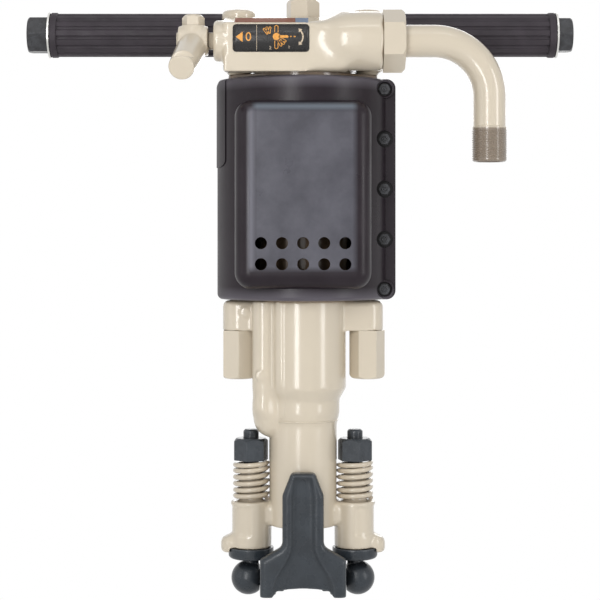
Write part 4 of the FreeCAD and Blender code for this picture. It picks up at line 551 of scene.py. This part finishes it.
def cast_copy(node_name, piece_name, voxel, passes, material, shape=None, zones=(), skirt=None):
    """A casting or forging: the node's own form with its corners run together."""
    source = cad_nodes[node_name]
    mesh = welded_copy(source, piece_name, skirt)
    mesh = baked_copy(mesh, piece_name, [("REMESH", {"mode": "VOXEL", "voxel_size": voxel})])
    if shape:
        for vert in mesh.vertices:
            vert.co = shape(vert.co)
    for zone, zone_passes in zones:
        melted(mesh, zone, zone_passes)
    mesh = baked_copy(mesh, piece_name, [("SMOOTH", {"factor": 0.5, "iterations": passes})])
    mesh.name = piece_name
    shown = link(piece_name, mesh, material, source["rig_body"], smooth=False)
    mesh.polygons.foreach_set("use_smooth", [True] * len(mesh.polygons))
    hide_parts(node_name)
    return shown


# Retainer springs: enamelled wire

WIRE_COAT = 0.3 * MM


def retainer_spring(side):
    node_name = "retainer_spring_" + side
    source = cad_nodes[node_name]
    name = "retainer_spring_wire_" + side
    wire = welded_copy(source, name)
    wire = baked_copy(wire, name, [("DISPLACE", {"strength": WIRE_COAT, "mid_level": 0.0})])
    wire.name = name
    piece = link(name, wire, cream_wire, source["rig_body"])
    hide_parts(node_name)
    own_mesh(piece)


for spring_side in ("left", "right"):
    retainer_spring(spring_side)


# The front head: air passages that run into each other, and short rounded foot lobes

guide_x = middle("retainer_bolt_right").x
GUIDE_RADIUS = 18.9 * MM
FOOT_TOP = -7.5 * MM
FOOT_SHOULDER = 7.0 * MM
FOOT_OVERHANG = 11.5 * MM
FOOT_LIMIT = 20 * MM
AIR_SIDE_START = 84 * MM
LOBE_AXIS = (-30 * MM, -11 * MM)
LOBE_RADIUS = 19.6 * MM
LOBE_SHOULDER = (104 * MM, 120 * MM)
LOBE_SPREAD = 5.4 * MM
LOBE_RIGHT = -20 * MM
NECK_HEIGHT = 130 * MM
NECK_SPREAD = 5.0 * MM
NECK_SHARE = 0.012
NOSE_RADIUS = 33.8 * MM
WAIST_RADIUS = 36.5 * MM
HEAD_RADIUS = 43.0 * MM
NOSE_SLOPE = (100 * MM, 112 * MM)
WAIST_SLOPE = (125 * MM, 137 * MM)
RIDGE_RISE = 2.0 * MM
RIDGE_START = (WAIST_SLOPE[1] - 4 * MM, WAIST_SLOPE[1] + 8 * MM)
RIDGE_FLANK = (-35 * MM, -27 * MM)
PASSAGE_ZONE = (-52 * MM, -12 * MM)
LOBE_HEIGHTS = (88 * MM, 134 * MM)
PASSAGE_HEIGHTS = (134 * MM, 222 * MM)
PASSAGE_SIDE_FADE = 5 * MM
LOBE_END_FADE = 6 * MM
PASSAGE_END_FADE = 4 * MM
CAST_PIP = (-42 * MM, 151 * MM)
CAST_PIP_REACH = 6.5 * MM
BOSS_ZONE = (12 * MM, 48 * MM)
BOSS_FADE = 8 * MM
BOSS_FRONT = backhead_low.y + 26 * MM
BACK_SKIRT = ((-76.5 * MM, -62.0 * MM, 447.0 * MM), (42.5 * MM, -44.0 * MM, 462.0 * MM))


def share_between(value, low, high, fade):
    """1 inside a range, fading to 0 over a length past its ends."""
    inside = min(value - low, high - value)
    return max(0.0, min(1.0, 1.0 + inside / fade))


def rise(value, start, end):
    """0 before a start, 1 after an end, and smooth between them."""
    share = max(0.0, min(1.0, (value - start) / (end - start)))
    return share * share * (3.0 - 2.0 * share)


def drawn_in(place, limit, axis_x=0.0, axis_y=0.0):
    """Move a place level towards an upright axis, to no further out than a limit."""
    reach = math.hypot(place.x - axis_x, place.y - axis_y)
    if reach <= limit:
        return place
    pull = limit / reach
    return Vector((axis_x + (place.x - axis_x) * pull, axis_y + (place.y - axis_y) * pull, place.z))


def foot_lobe_shape(place):
    """Draw the foot lobes' upper slopes in to the guide barrels."""
    axis_x = math.copysign(guide_x, place.x)
    if abs(place.x) < guide_x or place.z > FOOT_LIMIT:
        return place
    overhang = FOOT_OVERHANG * rise(-place.z, -FOOT_TOP, FOOT_SHOULDER - FOOT_TOP)
    return drawn_in(place, GUIDE_RADIUS + overhang, axis_x)


def head_shape(place):
    """Foot lobes, a round air lobe with a neck above it, and a low ridge that ends at the neck."""
    place = foot_lobe_shape(place)
    if place.y > 0.0 or place.x > 0.0 or place.z < AIR_SIDE_START:
        return place
    if place.z < LOBE_SHOULDER[1] and place.x < LOBE_RIGHT:
        limit = LOBE_RADIUS + LOBE_SPREAD * rise(place.z, *LOBE_SHOULDER)
        place = drawn_in(place, limit, *LOBE_AXIS)
    barrel = NOSE_RADIUS + (WAIST_RADIUS - NOSE_RADIUS) * rise(place.z, *NOSE_SLOPE)
    barrel += (HEAD_RADIUS - WAIST_RADIUS) * rise(place.z, *WAIST_SLOPE)
    proud = RIDGE_RISE * rise(place.z, *RIDGE_START)
    place = place.lerp(drawn_in(place, barrel + proud), rise(place.x, *RIDGE_FLANK))
    depth = NECK_SHARE * math.exp(-((place.z - NECK_HEIGHT) / NECK_SPREAD) ** 2)
    depth *= 1.0 - rise(place.x, *RIDGE_FLANK)
    return Vector((place.x * (1.0 - depth), place.y * (1.0 - depth), place.z))


def boss_zone(place):
    if place.y > BOSS_FRONT:
        return 0.0
    return share_between(place.x, *BOSS_ZONE, BOSS_FADE)


def lobe_zone(place):
    if place.y > 0.0:
        return 0.0
    across = share_between(place.x, *PASSAGE_ZONE, PASSAGE_SIDE_FADE)
    return across * share_between(place.z, *LOBE_HEIGHTS, LOBE_END_FADE)


def passage_zone(place):
    pip_x, pip_z = CAST_PIP
    if place.y > 0.0 or math.hypot(place.x - pip_x, place.z - pip_z) < CAST_PIP_REACH:
        return 0.0
    across = share_between(place.x, *PASSAGE_ZONE, PASSAGE_SIDE_FADE)
    return across * share_between(place.z, *PASSAGE_HEIGHTS, PASSAGE_END_FADE)


# Voxel size, smoothing passes and finish of each casting and forging

cast_copy("front_head", "front_head_casting", 1.0 * MM, 14, cream,
          head_shape, [(lobe_zone, 14), (passage_zone, 10)])
back_casting = cast_copy("backhead", "backhead_casting", 1.0 * MM, 14, cream,
                         zones=[(boss_zone, 220)], skirt=BACK_SKIRT)
cast_copy("retainer", "retainer_forging", 0.8 * MM, 12, slate)
cast_copy("throttle_lever", "throttle_lever_casting", 0.6 * MM, 10, cream_smooth)
for eye_side in ("left", "right"):
    cast_copy("retainer_bolt_" + eye_side, "retainer_bolt_forging_" + eye_side, 0.7 * MM, 6, slate)


# Small trim: beads, and the surfaces that trim lies on

def ring_mesh(name, major, minor, place, along="Y", around=48, across=12):
    """A round bead: a torus about an axis through a place."""

    def build(work):
        rows = []
        for index in range(around):
            turn = 2 * math.pi * index / around
            row = []
            for corner in range(across):
                lean = 2 * math.pi * corner / across
                reach = major + minor * math.cos(lean)
                lift = minor * math.sin(lean)
                if along == "Y":
                    spot = (reach * math.cos(turn), lift, reach * math.sin(turn))
                else:
                    spot = (reach * math.cos(turn), reach * math.sin(turn), lift)
                row.append(work.verts.new(Vector(spot) + place))
            rows.append(row)
        for index, row in enumerate(rows):
            after = rows[(index + 1) % around]
            for corner in range(across):
                beyond = (corner + 1) % across
                work.faces.new((row[corner], after[corner], after[beyond], row[beyond]))
    return mesh_from(name, build)


def surface_of(piece):
    """A tree for finding places on a piece's surface."""
    depsgraph = bpy.context.evaluated_depsgraph_get()
    return BVHTree.FromObject(piece, depsgraph)


# Muffler bolts: a turned ring and centre pip on each head, and raised rims at the end pockets

bolts_low, bolts_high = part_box("muffler_bolts")
BOLT_COUNT = 5
BOLT_FLANGE = 6.2 * MM
HEAD_RING_RADIUS = 2.5 * MM
HEAD_RING_THICKNESS = 0.55 * MM
RIM_RADIUS = 8.3 * MM
HEAD_PIP_RADIUS = 0.5 * MM
RIM_THICKNESS = 1.3 * MM
RIM_CLEARANCE = 1.5 * MM
RAY_LEAD = 10 * MM
bolt_x = (bolts_low.x + bolts_high.x) / 2
muffler_surface = surface_of(cad_nodes["muffler_front"])


def muffler_bolt_details():
    first = bolts_low.z + BOLT_FLANGE
    last = bolts_high.z - BOLT_FLANGE
    for index in range(BOLT_COUNT):
        z = first + (last - first) * index / (BOLT_COUNT - 1)
        label = str(index + 1)
        face = Vector((bolt_x, bolts_low.y, z))
        ring = ring_mesh("bolt_ring", HEAD_RING_RADIUS, HEAD_RING_THICKNESS, face)
        ring = link("muffler_bolt_ring_" + label, ring, muffler_bolt_black, "root")
        pip = ring_mesh("bolt_pip", HEAD_PIP_RADIUS, HEAD_PIP_RADIUS, face, around=16, across=8)
        pip = link("muffler_bolt_pip_" + label, pip, muffler_bolt_black, "root")
        if index in (0, BOLT_COUNT - 1):
            inward = -1 if index else 1
            start = Vector((bolt_x, muffler_low.y - RAY_LEAD, z + inward * (RIM_RADIUS + RIM_CLEARANCE)))
            spot = muffler_surface.ray_cast(start, Vector((0.0, 1.0, 0.0)))[0]
            rim = ring_mesh("pocket_rim", RIM_RADIUS, RIM_THICKNESS, Vector((bolt_x, spot.y, z)))
            rim = link("muffler_pocket_rim_" + label, rim, muffler_skin, "root")


muffler_bolt_details()


# The bead round the foot of the front head's crown

CROWN_HEIGHT = 105 * MM
CROWN_RADIUS = 35.0 * MM
CROWN_BEAD = 0.8 * MM
crown_place = Vector((0.0, 0.0, CROWN_HEIGHT))
crown_mesh = ring_mesh("crown_bead", CROWN_RADIUS, CROWN_BEAD, crown_place, along="Z", around=96)
crown_bead = link("front_head_crown_bead", crown_mesh, cream, "root")


# The inlet pipe's thread

def thread_mesh(name, axis_place, radius, height, pitch, length):
    """One helical ridge on a vertical rod, ending in a taper at both ends."""
    steps = 40
    turns = (length - pitch) / pitch
    count = int(turns * steps)

    def build(work):
        rings = []
        for index in range(count + 1):
            angle = 2 * math.pi * index / steps
            fade = min(1.0, index / steps * 2, (count - index) / steps * 2)
            z = axis_place.z + (pitch / 2 + pitch * index / steps)
            crest = radius + height * fade
            root = radius - height * 0.3
            corners = []
            for reach, lift in ((root, -0.46), (crest, -0.08), (crest, 0.08), (root, 0.46)):
                x = axis_place.x + reach * math.cos(angle)
                y = axis_place.y + reach * math.sin(angle)
                corners.append(work.verts.new((x, y, z + lift * pitch)))
            rings.append(corners)
        for low, high in zip(rings, rings[1:]):
            for corner in range(4):
                after = (corner + 1) % 4
                work.faces.new((low[corner], low[after], high[after], high[corner]))
        work.faces.new(rings[0])
        work.faces.new(rings[-1])
    return mesh_from(name, build)


PIPE_THREAD_RADIUS = 16.7 * MM
THREAD_HEIGHT = 0.55 * MM
THREAD_PITCH = 2.2 * MM
THREAD_RUN = 32 * MM
THREAD_START = 1.2 * MM
thread_foot = Vector((pipe_high.x - PIPE_THREAD_RADIUS, middle("gooseneck").y, pipe_low.z + THREAD_START))
inlet_thread_mesh = thread_mesh("inlet_thread", thread_foot, PIPE_THREAD_RADIUS, THREAD_HEIGHT,
                                THREAD_PITCH, THREAD_RUN)
inlet_thread = link("inlet_thread", inlet_thread_mesh, thread_coat, "gooseneck")


# Marks on the control plate: plain numerals, arrows and a lever, all of a generic design

plate_low, plate_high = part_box("control_plate")
plate_face = plate_low.y
plate_width = plate_high.x - plate_low.x
plate_height = plate_high.z - plate_low.z
MARK_LIFT = 0.12 * MM
GHOST_LINE = 0.30 * MM
SWEEP_LINE = 0.7 * MM
SWEEP_TIP = 3.0 * MM
SWEEP_TIP_HALF = 2.3 * MM
PLATE_EDGE = 1.0 * MM
DIVIDER_WIDTH = 0.4 * MM


def on_plate(across, up):
    """A place on the plate from shares of its width and height."""
    return plate_low.x + plate_width * across, plate_low.z + plate_height * up


def flat_mark(name, outline, material):
    """A thin raised outline on the plate, from (x, z) points."""
    front = plate_face - MARK_LIFT

    def build(work):
        verts = [work.verts.new((x, front, z)) for x, z in outline]
        front_face = work.faces.new(verts)
        moved = bmesh.ops.extrude_face_region(work, geom=[front_face])
        new_verts = [item for item in moved["geom"] if isinstance(item, bmesh.types.BMVert)]
        bmesh.ops.translate(work, verts=new_verts, vec=(0.0, MARK_LIFT * 1.5, 0.0))
    piece = link(name, mesh_from(name, build), material, "root", smooth=False)
    return piece


def ring_points(centre_x, centre_z, radius, start, end, count):
    points = []
    for index in range(count + 1):
        angle = math.radians(start + (end - start) * index / count)
        points.append((centre_x + radius * math.cos(angle), centre_z + radius * math.sin(angle)))
    return points


def band(points, half_width):
    """The outline of a line of even width through points."""
    left = []
    right = []
    for index, (x, z) in enumerate(points):
        before = points[max(index - 1, 0)]
        after = points[min(index + 1, len(points) - 1)]
        along = Vector((after[0] - before[0], after[1] - before[1])).normalized()
        left.append((x - along.y * half_width, z + along.x * half_width))
        right.append((x + along.y * half_width, z - along.x * half_width))
    return left + right[::-1]


def numeral(name, text, place, size, material):
    """A plain numeral that stands as proud of the plate as the other marks."""
    curve = bpy.data.curves.new(name, "FONT")
    curve.body = text
    curve.size = size
    curve.extrude = MARK_LIFT / 2
    curve.align_x = "CENTER"
    curve.align_y = "CENTER"
    curve.materials.append(material)
    piece = bpy.data.objects.new(name, curve)
    bpy.context.scene.collection.objects.link(piece)
    piece.location = (place[0], plate_face - MARK_LIFT / 2, place[1])
    piece.rotation_euler = (math.radians(90.0), 0.0, 0.0)
    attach(piece, "root")
    return piece


def turned_about(x, z, angle, points):
    """Points about an origin, turned by an angle and moved to a place."""
    lean = math.radians(angle)
    return [(x + a * math.cos(lean) - b * math.sin(lean), z + a * math.sin(lean) + b * math.cos(lean))
            for a, b in points]


def capsule(start, length, half):
    """A bar with one round end, from its open end to its round one."""
    return [(start, -half)] + ring_points(length, 0.0, half, -90, 90, 10) + [(start, half)]


def lever_mark(name, x, z, angle, start, length, half):
    flat_mark(name, turned_about(x, z, angle, capsule(start, length, half)), plate_orange)


def ghost_mark(name, x, z, angle, start, length, half):
    """The same bar as a thin line: a place that the lever can take."""
    outline = turned_about(x, z, angle, capsule(start, length, half))
    flat_mark(name, band(outline, GHOST_LINE), plate_orange)


def sweep_mark(x, z, radius, spread):
    """A curved arrow with a head at both ends."""
    arc = ring_points(x, z, radius, -spread, spread, 12)
    flat_mark("plate_sweep", band(arc, SWEEP_LINE), plate_cream)
    for label, angle, turn in (("up", spread, 1), ("down", -spread, -1)):
        lean = math.radians(angle)
        tip = Vector((x + radius * math.cos(lean), z + radius * math.sin(lean)))
        along = Vector((-math.sin(lean), math.cos(lean))) * turn
        across = Vector((along.y, -along.x))
        points = [tip + along * SWEEP_TIP, tip + across * SWEEP_TIP_HALF, tip - across * SWEEP_TIP_HALF]
        flat_mark("plate_sweep_" + label, [(p.x, p.y) for p in points], plate_cream)


def control_plate_marks():
    left = on_plate(0.31, 0.0)[0]
    right = left + DIVIDER_WIDTH
    low = plate_low.z + PLATE_EDGE
    high = plate_high.z - PLATE_EDGE
    flat_mark("plate_divider", [(left, low), (right, low), (right, high), (left, high)], plate_cream)
    x, z = on_plate(0.04, 0.54)
    arrow = [(x, z), (x + 6.6 * MM, z + 5.0 * MM), (x + 6.6 * MM, z - 5.0 * MM)]
    flat_mark("plate_arrow", arrow, plate_orange)
    numeral("plate_numeral_0", "0", on_plate(0.205, 0.53), 12 * MM, plate_orange)
    x, z = on_plate(0.57, 0.55)
    flat_mark("plate_hub", ring_points(x, z, 3.5 * MM, 0, 345, 23), plate_orange)
    lever_mark("plate_lever", x, z, 0, 2.4 * MM, 10.4 * MM, 1.25 * MM)
    ghost_mark("plate_ghost_up", x, z, 90, 4.0 * MM, 9.0 * MM, 1.6 * MM)
    ghost_mark("plate_ghost_down", x, z, -90, 4.0 * MM, 10.2 * MM, 1.6 * MM)
    for index, angle in enumerate((-62, -44, -28)):
        ghost_mark("plate_finger_low_" + str(index + 1), x, z, angle, 4.4 * MM, 9.4 * MM, 1.0 * MM)
    hand_x, hand_z = on_plate(0.47, 0.60)
    for index, angle in enumerate((128, 104, 80)):
        label = "plate_finger_high_" + str(index + 1)
        ghost_mark(label, hand_x, hand_z, angle, 1.2 * MM, 7.2 * MM, 0.9 * MM)
    for index, share in enumerate((0.76, 0.81)):
        x, z = on_plate(share, 0.55)
        lever_mark("plate_dash_" + str(index + 1), x, z, 0, -1.0 * MM, 0.4 * MM, 0.55 * MM)
    numeral("plate_numeral_1", "1", on_plate(0.735, 0.16), 4.6 * MM, plate_cream)
    numeral("plate_numeral_2", "2", on_plate(0.49, 0.14), 4.6 * MM, plate_cream)
    sweep_mark(*on_plate(0.80, 0.54), 8.6 * MM, 42)


control_plate_marks()


# Two plain foil strips that lie on the sloped deck over the plate

deck_surface = surface_of(back_casting)
STRIP_LIFT = 0.15 * MM
STRIP_STEP = 2.0 * MM


def deck_strip(name, left, right, front, back, material):
    """A strip of foil that follows the deck's surface."""
    columns = max(2, round((right - left) / STRIP_STEP))
    rows = max(2, round((back - front) / STRIP_STEP))

    def build(work):
        grid = []
        for row in range(rows + 1):
            line = []
            for column in range(columns + 1):
                x = left + (right - left) * column / columns
                y = front + (back - front) * row / rows
                spot = deck_surface.ray_cast(Vector((x, y, cad_high.z)), Vector((0.0, 0.0, -1.0)))[0]
                line.append(work.verts.new((x, y, spot.z + STRIP_LIFT)))
            grid.append(line)
        for row in range(rows):
            for column in range(columns):
                work.faces.new((grid[row][column], grid[row][column + 1], grid[row + 1][column + 1],
                                grid[row + 1][column]))
    strip = link(name, mesh_from(name, build), material, "root")
    return strip


STRIP_LEFT = plate_low.x + 1.5 * MM
STRIP_SPLIT = plate_high.x - 13.5 * MM
STRIP_RIGHT = plate_high.x - 1.0 * MM
STRIP_FRONT = plate_low.y + 1.8 * MM
STRIP_BACK = STRIP_FRONT + 30 * MM
deck_strip("deck_strip_rust", STRIP_LEFT, STRIP_SPLIT, STRIP_FRONT, STRIP_BACK, plate_rust)
deck_strip("deck_strip_blue", STRIP_SPLIT, STRIP_RIGHT, STRIP_FRONT, STRIP_BACK, plate_blue)


# Stage, light and camera

def seen_directly(tree):
    """1 for rays from the camera, off mirrors and through glass, 0 for other rays."""
    rays = tree.nodes.new("ShaderNodeLightPath")
    largest = tree.nodes.new("ShaderNodeMath")
    largest.operation = "MAXIMUM"
    tree.links.new(rays.outputs["Is Camera Ray"], largest.inputs[0])
    tree.links.new(rays.outputs["Is Glossy Ray"], largest.inputs[1])
    either = tree.nodes.new("ShaderNodeMath")
    either.operation = "MAXIMUM"
    tree.links.new(largest.outputs[0], either.inputs[0])
    tree.links.new(rays.outputs["Is Transmission Ray"], either.inputs[1])
    return either.outputs[0]


AMBIENT = 0.34
FLOOR_DROP = 90 * MM
FLOOR_HALF = 6.0
FLOOR_SHADE_REACH = 0.30
FLOOR_SHADE = 0.62
FLOOR_WHITE = (0.92, 0.92, 0.92)
WHITE = (1.0, 1.0, 1.0, 1.0)


def floor_grid(work):
    bmesh.ops.create_grid(work, x_segments=2, y_segments=2, size=FLOOR_HALF)


def studio():
    """A white floor that glows white where seen directly, with the drill's shadow painted into it from
    how near the drill is, and a white world.
    """
    floor = bpy.data.objects.new("floor", mesh_from("floor", floor_grid))
    floor.location = (0.0, 0.0, cad_low.z - FLOOR_DROP)
    bpy.context.scene.collection.objects.link(floor)
    white, tree, shader, _ = tree_of("floor_white", FLOOR_WHITE, 0.8)
    glow = tree.nodes.new("ShaderNodeEmission")
    mix = tree.nodes.new("ShaderNodeMixShader")
    # Painted shadow: the floor's glow dims where the drill is near above it.
    near = tree.nodes.new("ShaderNodeAmbientOcclusion")
    near.inputs["Distance"].default_value = FLOOR_SHADE_REACH
    near.samples = 16
    shade = gray_ramp(tree, near.outputs["AO"], FLOOR_SHADE, 1.0, 0.2, 0.98)
    tree.links.new(shade, glow.inputs["Strength"])
    tree.links.new(seen_directly(tree), mix.inputs["Fac"])
    tree.links.new(shader.outputs[0], mix.inputs[1])
    tree.links.new(glow.outputs[0], mix.inputs[2])
    tree.links.new(mix.outputs[0], tree.nodes["Material Output"].inputs["Surface"])
    floor.data.materials.append(white)

    world = bpy.data.worlds.new("studio")
    world.use_nodes = True
    bpy.context.scene.world = world
    tree = world.node_tree
    background = tree.nodes["Background"]
    background.inputs["Color"].default_value = WHITE
    background.inputs["Strength"].default_value = AMBIENT
    seen = tree.nodes.new("ShaderNodeBackground")
    seen.inputs["Strength"].default_value = 1.0
    seen.inputs["Color"].default_value = WHITE
    chooser = tree.nodes.new("ShaderNodeMixShader")
    tree.links.new(seen_directly(tree), chooser.inputs["Fac"])
    tree.links.new(background.outputs[0], chooser.inputs[1])
    tree.links.new(seen.outputs[0], chooser.inputs[2])
    tree.links.new(chooser.outputs[0], tree.nodes["World Output"].inputs["Surface"])


def soft_box(name, place, width, height, power):
    """A rectangular lamp that faces the drill."""
    lamp = bpy.data.lights.new(name, "AREA")
    lamp.shape = "RECTANGLE"
    lamp.size = width
    lamp.size_y = height
    lamp.energy = power
    holder = bpy.data.objects.new(name, lamp)
    holder.location = place
    holder.rotation_euler = (Vector(AIM) - Vector(place)).to_track_quat("-Z", "Y").to_euler()
    bpy.context.scene.collection.objects.link(holder)
    return holder


# The camera, in metres and in the photograph's pixels

PHOTO_SIZE = 600
CAMERA_DISTANCE = 1.68
CAMERA_HEIGHT = 0.291
FOCAL_PIXELS = 1680.0
CAMERA_SHIFT = 67.0
CAMERA_SIDE = -3 * MM
SENSOR = 36.0


def camera():
    """A level view along +Y, shifted down as in the photograph."""
    data = bpy.data.cameras.new("photo_camera")
    data.shift_y = -CAMERA_SHIFT / PHOTO_SIZE
    data.sensor_width = SENSOR
    data.lens = FOCAL_PIXELS / PHOTO_SIZE * SENSOR
    data.clip_end = 30.0
    holder = bpy.data.objects.new("photo_camera", data)
    holder.location = (CAMERA_SIDE, -CAMERA_DISTANCE, CAMERA_HEIGHT)
    holder.rotation_euler = (math.radians(90.0), 0.0, 0.0)
    bpy.context.scene.collection.objects.link(holder)
    bpy.context.scene.camera = holder


AIM = (0.0, 0.0, 0.28)
# Place, width and height in metres, and power in watts
SOFT_BOXES = {
    "key": ((-0.50, -1.72, 0.60), 0.36, 1.50, 14.5),
    "left": ((-1.60, -0.60, 0.50), 0.50, 1.40, 1.0),
    "left_strip": ((-1.45, -0.95, 0.50), 0.10, 1.40, 1.0),
    "right": ((1.50, -1.10, 0.50), 0.40, 1.20, 8.0),
    "top": ((0.0, -0.4, 1.90), 1.20, 0.60, 1.0),
    "top_strip": ((0.0, -0.90, 1.75), 1.30, 0.12, 2.2),
    "rear": ((0.3, 1.75, 0.90), 1.20, 1.20, 9.0),
}
studio()
for lamp_name, lamp_values in SOFT_BOXES.items():
    soft_box(lamp_name, *lamp_values)
camera()
bpy.context.scene.view_settings.view_transform = "Standard"
